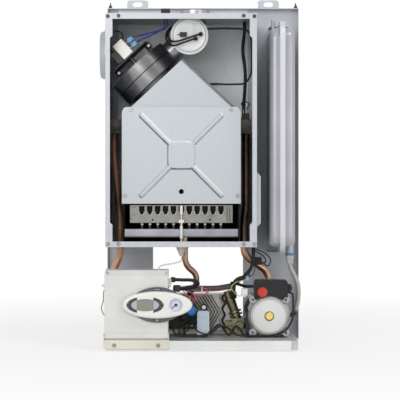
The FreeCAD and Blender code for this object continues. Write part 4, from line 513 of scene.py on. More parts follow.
nodeFinish = {
    "back_frame": "frameZinc", "bottom_tray": "trayZinc", "front_rail": "railPaint",
    "hinge_strip": "stripPaint",
    "chamber_left": "chamberZinc", "chamber_right": "chamberZinc", "chamber_top": "chamberZinc",
    "chamber_floor": "chamberZinc", "case_screws": "screwZinc", "side_blanking_cap": "chamberZinc",
    "flue_outlet": "ductSteel", "fan_lower_shell": "fanShellSteel", "fan_upper_shell": "fanShellSteel",
    "fan_impeller": "fanShellSteel", "fan_motor": "fanMotorSteel", "fan_coil": "coilTape",
    "pressure_switch": "switchShell", "pressure_tubes": "tubeRubber", "flue_hood": "hoodSheet",
    "combustion_panel": "panelSheet", "combustion_box": "boxSheet", "fibre_lining": "fibreBoard",
    "heat_exchanger": "finCopper", "burner_blades": "bladeDark", "burner_front_plate": "burnerSheet",
    "gas_manifold": "manifoldAlloy", "ignition_electrode": "electrodeCeramic", "flow_pipe": "flowCopper",
    "return_pipe": "returnCopper", "gas_pipe": "copper", "pipe_grommets": "grommetRubber",
    "expansion_vessel": "vesselPaint", "vessel_hose": "braidedHose", "pump_volute": "pumpIron",
    "pump_motor": "pumpAlloy", "pump_terminal_box": "blackMoulding", "pump_speed_knob": "redMoulding",
    "pump_rotor": "screwZinc", "pump_vent_plug": "plugBrass", "plate_exchanger": "plateSteel",
    "hydraulic_block": "brass", "relief_knob": "brass", "diverter_motor": "diverterMoulding",
    "gas_valve": "blackMoulding", "gas_valve_cap": "blueMoulding", "connection_tails": "brass",
    "control_box": "boxMoulding", "control_box_back": "boxMoulding", "control_board": "boardGreen",
    "panel_base": "ovalMoulding", "panel_bezel": "bezelMoulding", "lcd_screen": "displayGlass",
    "gauge_case": "gaugeDial", "gauge_needle": "darkMark", "heating_rocker": "rockerMoulding",
    "water_rocker": "rockerMoulding", "mode_button": "ovalMoulding", "reset_button": "ovalMoulding",
    "wiring_loom": "loomWire", "control_loom": "loomWire",
}
for name, finish in nodeFinish.items():
    mesh = nodes[name].data
    mesh.materials.clear()
    mesh.materials.append(finishes[finish])
print("finishes set on", len(nodeFinish), "nodes")

frontward = Matrix.Rotation(math.pi / 2, 4, "X")  # local z to -y


def keep(name, mesh, finish, body="chassis"):  # a finished mesh, its place in its vertices
    made = bpy.data.objects.new(name, mesh)
    bpy.context.scene.collection.objects.link(made)
    mesh.materials.clear()
    mesh.materials.append(finishes[finish])
    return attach(made, body)


def meshFrom(work, smooth=False):
    bmesh.ops.recalc_face_normals(work, faces=work.faces[:])
    mesh = bpy.data.meshes.new("piece")
    work.to_mesh(mesh)
    work.free()
    for face in mesh.polygons:
        face.use_smooth = smooth
    return mesh


def addBlock(work, low, high, bevel=0.0, turn=None):  # bevelled block between two corners, in mm
    low, high = mm(*low), mm(*high)
    spot = Matrix.Translation((low + high) / 2) @ (turn.to_4x4() if turn else Matrix())
    made = bmesh.ops.create_cube(work, size=1.0, matrix=spot @ Matrix.Diagonal((*(high - low), 1.0)))
    if bevel:
        edges = list(dict.fromkeys(edge for vert in made["verts"] for edge in vert.link_edges))
        bmesh.ops.bevel(work, geom=edges, offset=bevel / 1000, segments=3, profile=0.5, affect="EDGES")


def blockPiece(name, boxes, finish, bevel=0.0, body="chassis", origin=(0, 0, 0)):  # corner pairs in mm
    work = bmesh.new()
    for box in boxes:
        addBlock(work, *[Vector(origin) + Vector(corner) for corner in box], bevel)
    return keep(name, meshFrom(work), finish, body)


def fromEdges(low, high, x, y, z):  # in mm from a box's low corner, a minus in x or z from its far side
    return Vector(((low.x if x > 0 else high.x) + x, low.y + y, (low.z if z > 0 else high.z) + z))


def facePiece(name, node, bars, deep, finish, bevel=0.0):  # bars on a node's front, by corners in x and z
    low, high = boxOf(node)
    boxes = [[fromEdges(low, high, x, y, z) for (x, z), y in zip(bar, deep)] for bar in bars]
    return blockPiece(name, boxes, finish, bevel)


def addLathe(work, profile, spot=frontward, steps=24):  # radius and height pairs in mm about the local z axis
    turns = [2 * math.pi * k / steps for k in range(steps)]
    rings = []
    for radius, height in profile:
        angles = turns if radius else turns[:1]
        places = [mm(radius * math.cos(a), radius * math.sin(a), height) for a in angles]
        rings.append([work.verts.new(spot @ place) for place in places])
    for first, second in zip(rings, rings[1:]):
        for k in range(steps):
            loop = [first[k % len(first)], first[(k + 1) % len(first)],
                    second[(k + 1) % len(second)], second[k % len(second)]]
            unique = list(dict.fromkeys(loop))
            if len(unique) > 2:
                work.faces.new(unique)


def latheFront(name, profile, centre, finish, body="chassis", steps=48, smooth=True):  # turned, front-facing
    work = bmesh.new()
    addLathe(work, profile, Matrix.Translation(mm(*centre)) @ frontward, steps)
    return keep(name, meshFrom(work, smooth), finish, body)


def smoothLine(points, steps=10):  # a rounded path through the given points
    ends = [2 * points[0] - points[1]] + points + [2 * points[-1] - points[-2]]
    line = []
    for a, b, c, d in zip(ends, ends[1:], ends[2:], ends[3:]):
        for k in range(steps):
            t = k / steps
            line.append(0.5 * (2 * b + (c - a) * t + (2 * a - 5 * b + 4 * c - d) * t ** 2
                               + (3 * b - a - 3 * c + d) * t ** 3))
    return line + [points[-1]]


def newTree(name, inputs):  # a tree with named inputs, each given as its kind and first value
    made = Weave(bpy.data.node_groups.new(name, "GeometryNodeTree"))
    sockets = made.tree.interface
    given = {"Geometry": ("Geometry", None), **inputs, "Material": ("Material", None)}
    for label, (kind, value) in given.items():
        socket = sockets.new_socket(label, in_out="INPUT", socket_type="NodeSocket" + kind)
        if value is not None:
            socket.default_value = value
    sockets.new_socket("Geometry", in_out="OUTPUT", socket_type="NodeSocketGeometry")
    return made, made.node("NodeGroupInput").outputs


def finishTree(made, given, built, smooth=False):  # ends in Realize Instances and Set Material
    real = made.node("GeometryNodeRealizeInstances", {0: built.outputs[0]})
    shaded = made.node("GeometryNodeSetShadeSmooth", {0: real.outputs[0], "Shade Smooth": smooth})
    covered = made.node("GeometryNodeSetMaterial", {0: shaded.outputs[0], "Material": given["Material"]})
    made.node("NodeGroupOutput", {0: covered.outputs[0]})
    return made.tree


def sweepTree():  # a round wire along a line
    made, given = newTree("wireSweep", {"Radius": ("Float", 0.001), "Sides": ("Int", 10)})
    line = made.node("GeometryNodeMeshToCurve", {0: given["Geometry"]})
    sockets = {"Radius": given["Radius"], "Resolution": given["Sides"]}
    ring = made.node("GeometryNodeCurvePrimitiveCircle", sockets)
    sockets = {"Curve": line.outputs[0], "Profile Curve": ring.outputs["Curve"], "Fill Caps": True}
    return finishTree(made, given, made.node("GeometryNodeCurveToMesh", sockets), True)


def rowTree():  # copies of the given mesh in a straight row
    made, given = newTree("pieceRow", {"Count": ("Int", 5), "Start": ("Vector", (0, 0, 0)),
                                       "Step": ("Vector", (0, 0, 0.01))})
    sockets = {"Count": given["Count"], "Start Location": given["Start"], "Offset": given["Step"]}
    line = made.node("GeometryNodeMeshLine", sockets, mode="OFFSET")
    sockets = {"Points": line.outputs[0], "Instance": given["Geometry"]}
    return finishTree(made, given, made.node("GeometryNodeInstanceOnPoints", sockets))


def spotTree():  # copies of one shape on the vertices of the given mesh
    made, given = newTree("pieceSpots", {"Shape": ("Object", None)})
    shape = made.node("GeometryNodeObjectInfo", {"Object": given["Shape"]})
    points = made.node("GeometryNodeMeshToPoints", {0: given["Geometry"]})
    sockets = {"Points": points.outputs[0], "Instance": shape.outputs["Geometry"]}
    return finishTree(made, given, made.node("GeometryNodeInstanceOnPoints", sockets))


def ringTree():  # copies of the given mesh turned about the front axis
    made, given = newTree("pieceRing", {"Count": ("Int", 12), "First": ("Float", 0.0), "Step": ("Float", 0.1),
                                        "Centre": ("Vector", (0, 0, 0))})
    sockets = {"Count": given["Count"], "Start Location": given["Centre"], "Offset": (0, 0, 0)}
    heap = made.node("GeometryNodeMeshLine", sockets, mode="OFFSET")  # all points on the centre
    sockets = {0: made.node("GeometryNodeInputIndex").outputs[0], 1: given["Step"], 2: given["First"]}
    angle = made.node("ShaderNodeMath", sockets, operation="MULTIPLY_ADD")
    turn = made.node("ShaderNodeCombineXYZ", {"Y": angle.outputs[0]})
    sockets = {"Points": heap.outputs[0], "Instance": given["Geometry"], "Rotation": turn.outputs[0]}
    return finishTree(made, given, made.node("GeometryNodeInstanceOnPoints", sockets))


trees = {"sweep": sweepTree(), "row": rowTree(), "spots": spotTree(), "ring": ringTree()}


def grow(name, mesh, treeName, values, finish, body="chassis", ride=True):  # runs a tree, keeps its mesh
    seed = bpy.data.objects.new(name, mesh)
    bpy.context.scene.collection.objects.link(seed)
    tree = trees[treeName]
    sockets = {item.name: item.identifier for item in tree.interface.items_tree if item.in_out == "INPUT"}
    modifier = seed.modifiers.new("build", "NODES")
    modifier.node_group = tree
    for label, value in dict(values, Material=finishes[finish]).items():
        modifier[sockets[label]] = value
    bpy.context.view_layer.update()
    ready = seed.evaluated_get(bpy.context.evaluated_depsgraph_get())
    built = bpy.data.meshes.new_from_object(ready)
    seed.modifiers.remove(modifier)
    seed.data = built
    bpy.data.meshes.remove(mesh)
    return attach(seed, body) if ride else seed


def row(name, mesh, count, start, step, finish):  # start and step in mm
    values = {"Count": count, "Start": tuple(mm(*start)), "Step": tuple(mm(*step))}
    return grow(name, mesh, "row", values, finish)


def spots(name, work, places, finish, body="chassis", smooth=False):  # one shape on each place, in mm
    shape = bpy.data.objects.new(name + "Shape", meshFrom(work, smooth))
    marks = bpy.data.meshes.new("marks")
    marks.from_pydata([tuple(mm(*place)) for place in places], [], [])
    return grow(name, marks, "spots", {"Shape": shape}, finish, body)


def turnedSpots(name, profile, places, finish, body="chassis", steps=24, smooth=False):  # front-facing
    work = bmesh.new()
    addLathe(work, profile, frontward, steps)
    return spots(name, work, places, finish, body, smooth)


def wire(name, points, radius, finish, body="chassis", sides=10, ride=True):  # points and radius in mm
    path = smoothLine([mm(*point) for point in points])
    line = bpy.data.meshes.new("line")
    line.from_pydata([tuple(place) for place in path], [(i, i + 1) for i in range(len(path) - 1)], [])
    return grow(name, line, "sweep", {"Radius": radius / 1000, "Sides": sides}, finish, body, ride)


fanLook = {
    "plugs": ((24.0, -40.0, 56.5), (24.0, -40.0, 69.0)), "plugSize": (12.0, 9.0, 9.5), "plugBevel": 1.2,
    "tabBack": 9.0, "tabSize": (6.0, 5.0, 1.2), "tabBevel": 0.2,
    "bolts": [(along, y, 45.2) for along in (-37, 41) for y in (-18, 18)],
    "bolt": [(0, 0), (4.2, 0), (4.2, 0.8), (3, 1), (2.9, 3.4), (2.2, 4), (0, 4)],
    "clips": ((43.5, -25.5, 36.0), (-38.0, -25.5, 36.0)), "clipBevel": 0.3,
    "clipBars": ((0, 5.2, (12.4, 2.4, 2.0)), (0, -5.2, (12.4, 2.4, 2.0)),
                 (5.2, 0, (2.0, 2.4, 12.4)), (-5.2, 0, (2.0, 2.4, 12.4))),
    "clipBolt": [(0, -2), (3.4, -2), (3.4, 1.2), (2.4, 2), (0, 2)],
    "seamRadius": 66.2, "seam": ((-1.2, -1.2), (0, -0.9), (0.6, 0), (0, 0.9), (-1.2, 1.2)), "seamSteps": 96,
    "lead": ((-19, -40, 72.6), (-20, -42, 84), (-12, -46, 100), (10, -46, 104), (20, -44, 92), (16, -38, 82),
             (8, -30, 81.6)), "leadRadius": 1.3}


def addFanBlock(work, place, size, bevel):
    centre, half = onFan(*place), Vector(size) / 2
    addBlock(work, centre - half, centre + half, bevel, fanTurn)


def fanPlugs():  # two slip-on connectors beside the stack, with their tabs
    plugs, tabs = bmesh.new(), bmesh.new()
    for along, y, out in fanLook["plugs"]:
        addFanBlock(plugs, (along, y, out), fanLook["plugSize"], fanLook["plugBevel"])
        addFanBlock(tabs, (along - fanLook["tabBack"], y, out), fanLook["tabSize"], fanLook["tabBevel"])
    keep("fanPlugs", meshFrom(plugs), "cyanMoulding")
    keep("fanTabs", meshFrom(tabs), "screwZinc")


def fanBolts():  # bright bolt heads and washers on the bracket posts
    head = bmesh.new()
    addLathe(head, fanLook["bolt"], fanTurn.to_4x4())
    spots("fanBolts", head, [onFan(*place) for place in fanLook["bolts"]], "screwZinc")


def fanClips():  # dark clips, each with a bright bolt, on the front of the two bracket posts
    clips, bolts = bmesh.new(), bmesh.new()
    for along, y, out in fanLook["clips"]:
        for shift, lift, size in fanLook["clipBars"]:
            addFanBlock(clips, (along + shift, y, out + lift), size, fanLook["clipBevel"])
        addLathe(bolts, fanLook["clipBolt"], Matrix.Translation(onFan(along, y, out) / 1000) @ frontward)
    keep("fanClips", meshFrom(clips), "bladeSteel")
    keep("fanClipBolts", meshFrom(bolts), "screwZinc")


def fanSeam():  # rolled edge where the two shells meet
    work = bmesh.new()
    profile = [(fanLook["seamRadius"] + more, height) for more, height in fanLook["seam"]]
    addLathe(work, profile, Matrix.Translation(fanCentre) @ fanTurn.to_4x4(), fanLook["seamSteps"])
    keep("fanSeam", meshFrom(work, True), "bladeSteel")


fanPlugs()
fanBolts()
fanClips()
fanSeam()
wire("fanLead", [onFan(*place) for place in fanLook["lead"]], fanLook["leadRadius"], "tubeRubber")
print("fan dressed")


switchLook = {  # plug and ribs from their centres, bosses and tubes from the switch's face
    "face": -195.0, "plugCentre": (-39.0, -195.0, -81.5), "ribCentre": (-27.0, -195.0, -82.0),
    "plug": [((-7, -7, -4.5), (7, 0.5, 4.5)), ((-12, -2, -1), (-6.5, 0.5, 1))], "plugBevel": 1.0,
    "ribs": [((5, -1.2, 3), (6.5, 0.5, 24)), ((19, -1.2, 3), (20.5, 0.5, 24)),
             ((5, -1.2, 23), (20.5, 0.5, 24.5)), ((5, -1.2, 12), (20.5, 0.5, 13.2)),
             ((-22, -1, 14), (-10, 0.5, 15.4)), ((-16, -1, -27), (14, 0.5, -25.6)),
             ((-16, -1, -20), (-14.6, 0.5, -14))], "ribBevel": 0.3,
    "bosses": ((-4.5, -80.5), (-14.5, -89.5)),
    "boss": [(0, -0.5), (4.2, -0.5), (4.2, 3), (3.4, 4.2), (2.4, 7), (0, 7)], "tubeRadius": 2.0,
    "tubes": {
        "switchTubeUpper": [(-4.5, -4.2, -80.5), (-14, -5, -83.2), (-32, -5, -89.6), (-52, -4.4, -95.2),
                            (-64, 3, -93), (-69, 16, -84), (-68, 30, -72), (-60, 46, -63), (-47, 53, -59)],
        "switchTubeLower": [(-14.5, -4.2, -89.5), (-24, -4.4, -92.4), (-42, -4.4, -98.6), (-56, -2, -103),
                            (-67, 8, -100), (-73, 22, -88), (-72, 34, -74), (-64, 48, -63), (-50, 54, -55)]}}


def pressureSwitch():
    face = switchLook["face"]
    blockPiece("switchPlug", switchLook["plug"], "blackMoulding", switchLook["plugBevel"],
               origin=switchLook["plugCentre"])
    blockPiece("switchRibs", switchLook["ribs"], "switchShell", switchLook["ribBevel"],
               origin=switchLook["ribCentre"])
    for index, (x, z) in enumerate(switchLook["bosses"]):
        latheFront(f"switchBoss{index}", switchLook["boss"], (x, face, z), "tubeRubber", steps=32)
    for name, points in switchLook["tubes"].items():
        wire(name, [(x, face + y, z) for x, y, z in points], switchLook["tubeRadius"], "tubeRubber")


pressureSwitch()
print("pressure switch dressed")


sensorLook = {  # from the sensor's right front foot, the wires' ends from the middle of the boiler
    "inset": 3.0, "front": -158.0, "top": -248.0,
    "body": [((-15, 0, -0.2), (0, 16, 13)), ((-18, 2, -0.2), (2, 14, 2))], "bodyBevel": 1.0,
    "tabs": [((-12, 7, 12.5), (-11, 11, 20)), ((-4, 7, 12.5), (-3, 11, 20))], "tabBevel": 0.2,
    "wireStarts": ((-11.5, -11.5, -15.5), (-3.5, -3.5, 0.5)), "wireEnds": ((83, 84), (86, 86)),
    "wirePath": ((9, 17), (9, 24), (20, 33), (86, 43), (94, 59)), "wireRadius": 1.2}


def headerSensor():
    front, top = sensorLook["front"], sensorLook["top"]
    right = boxOf("heat_exchanger")[1].x - sensorLook["inset"]
    foot = (right, front, top)
    blockPiece("headerSensor", sensorLook["body"], "blackMoulding", sensorLook["bodyBevel"], origin=foot)
    blockPiece("headerSensorTabs", sensorLook["tabs"], "screwZinc", sensorLook["tabBevel"], origin=foot)
    for index, (starts, ends) in enumerate(zip(sensorLook["wireStarts"], sensorLook["wireEnds"])):
        across = [right + x for x in starts] + list(ends)
        points = [(x, front + y, top + z) for x, (y, z) in zip(across, sensorLook["wirePath"])]
        wire(f"headerSensorWire{index}", points, sensorLook["wireRadius"], "loomWire")


headerSensor()


panelLook = {"sheet": -185.7, "sink": 0.1, "rise": 2.8, "plate": 28.6, "cant": 19.6, "plateFlank": 3.4,
             "bead": (24.0, 117.0), "half": 5.8, "tip": 3.0, "beadFlank": 3.7, "beadBack": 0.08}


def bevelPlate(work, outline, inset, front, base):  # raised flat with sloping flanks
    middle = sum((Vector(p) for p in outline), Vector((0, 0))) / len(outline)
    foot = [work.verts.new(mm(x, base, z)) for x, z in outline]
    top = []
    for k, point in enumerate(outline):
        last, here, following = Vector(outline[k - 1]), Vector(point), Vector(outline[(k + 1) % len(outline)])
        edgeIn, edgeOut = (here - last).normalized(), (following - here).normalized()
        normal = Vector((edgeIn.y + edgeOut.y, -edgeIn.x - edgeOut.x)).normalized()
        if normal.dot(middle - here) < 0:
            normal = -normal
        moved = here + normal * inset / math.sqrt((1 + edgeIn.dot(edgeOut)) / 2)
        top.append(work.verts.new(mm(moved.x, front, moved.y)))
    work.faces.new(top)
    for k in range(len(outline)):
        n = (k + 1) % len(outline)
        work.faces.new((foot[k], foot[n], top[n], top[k]))


def panelBeads():  # pressed cross and middle plateau on the front panel
    centre = middleOf("combustion_panel") * 1000
    x, z = centre.x, centre.z
    base, front = panelLook["sheet"] + panelLook["sink"], panelLook["sheet"] - panelLook["rise"]
    half, cant = panelLook["plate"], panelLook["cant"]
    work = bmesh.new()
    outline = [(half, cant), (cant, half), (-cant, half), (-half, cant), (-half, -cant), (-cant, -half),
               (cant, -half), (half, -cant)]
    bevelPlate(work, [(x + u, z + v) for u, v in outline], panelLook["plateFlank"], front, base)
    start, end = panelLook["bead"]
    wide, tip = panelLook["half"], end - panelLook["tip"]
    run = [(start, -wide), (tip, -wide), (end, -wide / 2), (end, wide / 2), (tip, wide), (start, wide)]
    for turn in (45, 135, 225, 315):
        c, s = math.cos(math.radians(turn)), math.sin(math.radians(turn))
        outline = [(x + r * c - w * s, z + r * s + w * c) for r, w in run]
        bevelPlate(work, outline, panelLook["beadFlank"], front + panelLook["beadBack"], base)
    keep("panelBeads", meshFrom(work), "beadSheet")


def hoodEdge():  # dark set-back strip along the right slope of the hood, painted shade
    up, out = (-fanAlong.x, 0, fanAlong.z), (-fanAxis.x, 0, fanAxis.z)
    turn = Matrix((out, backward, up)).transposed()
    half = Vector(hoodLook["edgeSize"]) / 2
    centre = Vector(hoodLook["edgeStart"]) + turn @ half
    work = bmesh.new()
    addBlock(work, centre - half, centre + half, turn=turn)
    keep("hoodEdge", meshFrom(work), "seamSteel")


screwLook = {"cross": (3.4, 0.8), "deep": (-0.1, 0.2),
             "ring": [(3, -1.8), (3, -1.2), (3.9, -1.3), (3.9, -1.8)],
             "places": [(x, -216.1, z) for x in (-187, 101) for z in (-47, -495)]
             + [(x, -214.9, z) for x, z in ((-166, -46), (80, -46), (-166, -495), (80, -495))]
             + [(x, -187.7, z) for x, z in ((-142, -230), (56, -230), (-155, -400), (69, -400))]
             + [(x, -227.6, -693) for x in (-173.8, -87.8)]}


def screwRecesses():  # painted shade: a dark cross for the recess in each case screw, and a dark ring in the gap round its head
    front, back = screwLook["deep"]
    long, wide = (size / 2 for size in screwLook["cross"])
    cross = bmesh.new()
    for x, z in ((long, wide), (wide, long)):
        addBlock(cross, (-x, front, -z), (x, back, z))
    addLathe(cross, screwLook["ring"])
    spots("screwRecesses", cross, screwLook["places"], "darkMark")


panelBeads()
hoodEdge()
screwRecesses()


roofLook = {"plug": [((-84, -160, -0.3), (-66, -138, 15)), ((-87, -163, -0.3), (-63, -135, 3))],
            "plugBevel": 1.0, "grommets": ((-108, -150), (-60, -150)), "steps": 32,
            "grommet": [(0, -0.3), (6, -0.3), (6, 2), (4.5, 4.5), (2, 4.5), (0, 3)]}


def roofPieces():  # plug and cable grommets on the roof
    top = boxOf("chamber_top")[1].z
    blockPiece("roofPlug", roofLook["plug"], "blackMoulding", roofLook["plugBevel"], origin=(0, 0, top))
    work = bmesh.new()
    for x, y in roofLook["grommets"]:
        addLathe(work, roofLook["grommet"], Matrix.Translation(mm(x, y, top)), roofLook["steps"])
    keep("roofGrommets", meshFrom(work, True), "tubeRubber")


burnerLook = {
    "slots": 11, "pitch": 15.7, "rim": 0.8, "foot": 19.0, "proud": 0.3,
    "lip": ((-5.3, 6.5), (-5.3, 3.6), (-2.915, 0), (2.915, 0), (5.3, 3.6), (5.3, 6.5)),
    "marks": (((-12, 3), (-10.4, -3)), ((-6.5, 3), (-5.2, -6)), ((5, 17), (8, 18.2)), ((4, -4), (12, -3)),
              ((-20, 17), (-16.5, 18.2))), "markDeep": (-0.3, 0.2),
    "brackets": (((-4.5, 2), (-0.3, 14)), ((-4.5, -12), (-0.3, -2)), ((0.3, 6), (4, 15))),
    "bracketDeep": (-2.2, 0.3), "bracketBevel": 0.6}


def burnerRims():  # bright lip at the foot of each slot, dark slits and the end brackets
    low, high = boxOf("burner_front_plate")
    front, foot = low.y - burnerLook["proud"], high.z - burnerLook["foot"]
    points = [(x, front, foot + z) for x, z in burnerLook["lip"]]
    lip = wire("burnerLip", points, burnerLook["rim"], "screwZinc", ride=False)
    mesh = lip.data.copy()
    bpy.data.objects.remove(lip)
    count, pitch = burnerLook["slots"], burnerLook["pitch"]
    first = (low.x + high.x) / 2 - pitch * (count - 1) / 2
    row("burnerRims", mesh, count, (first, 0, 0), (pitch, 0, 0), "screwZinc")
    facePiece("burnerMarks", "burner_front_plate", burnerLook["marks"], burnerLook["markDeep"], "darkMark")
    facePiece("burnerBrackets", "burner_front_plate", burnerLook["brackets"], burnerLook["bracketDeep"],
              "boxSheet", burnerLook["bracketBevel"])


roofPieces()
burnerRims()
print("chamber dressed")


coverLook = {"seam": -556.0, "foot": -668.0, "inset": 0.2, "deep": (-0.8, 0.3), "bevel": 0.4,
             "screws": ((-187.5, -549.5), (-71.0, -549.5)),
             "screw": [(0, -0.3), (2.8, -0.3), (2.8, 0.6), (1.8, 1.2), (0, 1.3)]}


def boxCover():  # lid sheet below the seam line, two screws above it
    low, high = boxOf("control_box_back")
    face, inset = boxOf("control_box")[0].y, coverLook["inset"]
    front, back = (face + y for y in coverLook["deep"])
    sheet = ((low.x + inset, front, coverLook["foot"]), (high.x - inset, back, coverLook["seam"]))
    blockPiece("boxCover", [sheet], "boxMoulding", coverLook["bevel"], "control_unit")
    places = [(x, face, z) for x, z in coverLook["screws"]]
    turnedSpots("boxScrews", coverLook["screw"], places, "screwZinc", "control_unit", smooth=True)


knobLook = {"place": (-204, -577),
            "knob": [(0, -0.8), (3.4, -0.8), (3.4, 1.6), (2.2, 2), (2.2, 4.2), (3.4, 4.6), (3, 5.8), (0, 6)]}


def boxKnobs():  # white push-in studs on the two sides of the box
    low, high = boxOf("control_box_back")
    work = bmesh.new()
    for x, way in ((low.x, -1), (high.x, 1)):
        turn = Matrix.Rotation(way * math.pi / 2, 4, "Y")
        addLathe(work, knobLook["knob"], Matrix.Translation(mm(x, *knobLook["place"])) @ turn)
    keep("boxKnobs", meshFrom(work), "whiteMoulding", "control_unit")


dialLook = {"ticks": 28, "first": -135.0, "sweep": 270.0, "tickOut": 10.4, "tickDeep": (0.08, 0.32),
            "rows": (("dialTicks", 1, 1.5, 0.35), ("dialMainTicks", 3, 2.85, 0.525)),
            "figures": 5, "figure": 2.4, "figureOut": 6.3, "figureBack": 0.15, "figureThick": 0.05,
            "hub": [(0, 0), (2.3, 0), (2.3, 0.5), (1.6, 0.9), (0, 1)], "hubSink": 0.1}


def dialMarks():  # scale ticks round the gauge, longer and wider every third
    centre = middleOf("gauge_case")
    spot = (centre.x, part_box("gauge_needle")[1].y, centre.z)
    steps = dialLook["ticks"] - 1
    outer, (front, back) = dialLook["tickOut"], dialLook["tickDeep"]
    for name, every, long, wide in dialLook["rows"]:
        work = bmesh.new()
        addBlock(work, (-wide / 2, front, outer - long), (wide / 2, back, outer))
        values = {"Count": steps // every + 1, "First": math.radians(dialLook["first"]),
                  "Step": math.radians(dialLook["sweep"]) / steps * every, "Centre": spot}
        grow(name, meshFrom(work), "ring", values, "darkMark", "control_unit")


def dialNumbers():  # plain figures 0 to 4 inside the scale
    centre = middleOf("gauge_case") * 1000
    y = boxOf("gauge_needle")[1].y + dialLook["figureBack"]
    reach = dialLook["figureOut"]
    joined = bmesh.new()
    for figure in range(dialLook["figures"]):
        angle = math.radians(dialLook["first"] + dialLook["sweep"] * figure / (dialLook["figures"] - 1))
        text = bpy.data.curves.new("figure", "FONT")
        text.body = str(figure)
        text.size = dialLook["figure"] / 1000
        text.align_x, text.align_y = "CENTER", "CENTER"
        text.extrude = dialLook["figureThick"] / 1000
        holder = bpy.data.objects.new("figure", text)
        bpy.context.scene.collection.objects.link(holder)
        bpy.context.view_layer.update()
        mesh = bpy.data.meshes.new_from_object(holder.evaluated_get(bpy.context.evaluated_depsgraph_get()))
        spot = mm(centre.x + reach * math.sin(angle), y, centre.z + reach * math.cos(angle))
        mesh.transform(Matrix.Translation(spot) @ frontward)
        joined.from_mesh(mesh)
        bpy.data.objects.remove(holder)
    keep("dialNumbers", meshFrom(joined), "darkMark", "control_unit")


def dialHub():
    centre = middleOf("gauge_case") * 1000
    centre.y = boxOf("gauge_needle")[0].y + dialLook["hubSink"]
    latheFront("dialHub", dialLook["hub"], centre, "darkMark", "gauge_needle_body", steps=32)


markLook = {"rockers": {"heating_rocker": 4.5, "water_rocker": -4.5},  # from the outer edge of each
            "rockerBars": [((-1.6, -0.12, 4.4), (1.6, 0.3, 5.0)), ((-0.3, -0.12, 3.1), (0.3, 0.3, 6.3)),
                           ((-1.6, -0.12, -5.0), (1.6, 0.3, -4.4))],
            "buttons": {"mode_button": (0.5, (-4.2, -1.4, 1.4, 4.2)), "reset_button": (1.6, (0.0,))},
            "buttonDeep": (-0.1, 0.3), "buttonHalf": 1.1}


def frontMarks():  # plain light marks on the rockers and on the two buttons
    for rocker, inset in markLook["rockers"].items():
        low, high = boxOf(rocker)
        origin = ((low.x if inset > 0 else high.x) + inset, low.y, (low.z + high.z) / 2)
        blockPiece(rocker + "Marks", markLook["rockerBars"], "lightMark", 0.0, rocker + "_body", origin)
    tall, (front, back) = markLook["buttonHalf"], markLook["buttonDeep"]
    for button, (half, shifts) in markLook["buttons"].items():
        low, high = boxOf(button)
        origin = ((low.x + high.x) / 2, low.y, (low.z + high.z) / 2)
        bars = [((shift - half, front, -tall), (shift + half, back, tall)) for shift in shifts]
        blockPiece(button + "Marks", bars, "lightMark", 0.0, button + "_body", origin)


boxCover()
boxKnobs()
dialMarks()
dialNumbers()
dialHub()
frontMarks()
print("control box dressed")


pumpLook = {
    "label": [(8.4, -0.2), (33.2, -0.2), (33.2, 0.21), (32.9, 0.35), (8.4, 0.35), (8.4, -0.2)],
    "labelSteps": 72, "rings": ((31.6, 32.0, "ringInk"), (8.5, 9.7, "darkMark")), "ringRise": (0.25, 0.41),
    "earFront": -115.0, "earHalf": 33.0,
    "ears": (("pumpLugs", [(0, -0.4), (8.4, -0.4), (7.896, 46.8), (6.888, 48), (0, 48)], "pumpAlloy", 32),
             ("pumpBolts", [(0, 47.6), (4.9, 47.6), (4.9, 50.6), (4.214, 51.4), (2.744, 51.4), (2.744, 49),
                            (0, 49)], "screwZinc", 32),
             # the dark hex on each socket's floor is painted shade
             ("pumpBoltHoles", [(0, 49.1), (2.646, 49.1), (2.646, 49.4), (0, 49.4)], "darkMark", 6)),
    "screw": [(0, -0.3), (2.6, -0.3), (2.6, 0.8), (1.6, 1.4), (0, 1.4)], "screwInset": 6.0,
    "plug": [((-0.3, 10, -24), (7, 28, -8)), ((6, 13, -21), (9.5, 25, -11))], "plugBevel": 1.2}
pumpSpot = Vector(joints["pump_spin"]["pos_m"]) * 1000


def pumpLabel():  # bare white label round the vent plug, with two plain rings
    centre = (pumpSpot.x, boxOf("pump_motor")[0].y, pumpSpot.z)
    steps, (low, high) = pumpLook["labelSteps"], pumpLook["ringRise"]
    latheFront("pumpLabel", pumpLook["label"], centre, "labelFilm", steps=steps, smooth=False)
    for index, (inner, outer, ink) in enumerate(pumpLook["rings"]):
        profile = [(inner, low), (inner, high), (outer, high), (outer, low)]
        latheFront(f"pumpLabelRing{index}", profile, centre, ink, steps=steps, smooth=False)


def pumpBolts():  # cast lugs at the corners of the motor, each with a socket bolt whose socket floor is dark as painted shade
    half, front = pumpLook["earHalf"], pumpLook["earFront"]
    places = [(pumpSpot.x + x, front, pumpSpot.z + z) for x in (-half, half) for z in (-half, half)]
    for name, profile, finish, steps in pumpLook["ears"]:
        turnedSpots(name, profile, places, finish, steps=steps)


def terminalScrews():  # cover screws and the plug of the terminal box
    low, high = boxOf("pump_terminal_box")
    inset = pumpLook["screwInset"]
    places = [(x, low.y, z) for x in (low.x + inset, high.x - inset) for z in (low.z + inset, high.z - inset)]
    turnedSpots("terminalScrews", pumpLook["screw"], places, "blackMoulding", smooth=True)
    blockPiece("terminalPlug", pumpLook["plug"], "blackMoulding", pumpLook["plugBevel"],
               origin=(high.x, low.y, high.z))


pumpLabel()
pumpBolts()
terminalScrews()
print("pump dressed")


plateLook = {"count": 17, "pitch": 6.2, "back": 21.0, "margin": 2.0, "sink": 0.3,
             "rows": (("plateRibs", 1.4, 1.4, -66.0, "plateSteel"),
                      # the dark groove row is painted shade between the ribs
                      ("plateGrooves", 1.8, 0.3, -62.9, "plateGroove")),
             "edges": (("plateEdge", 37.0, 2.2, "plateSteel"), ("plateLead", 42.2, 2.0, "tubeRubber")),
             "waves": 12, "waveWide": 2.6, "waveProud": 1.2}


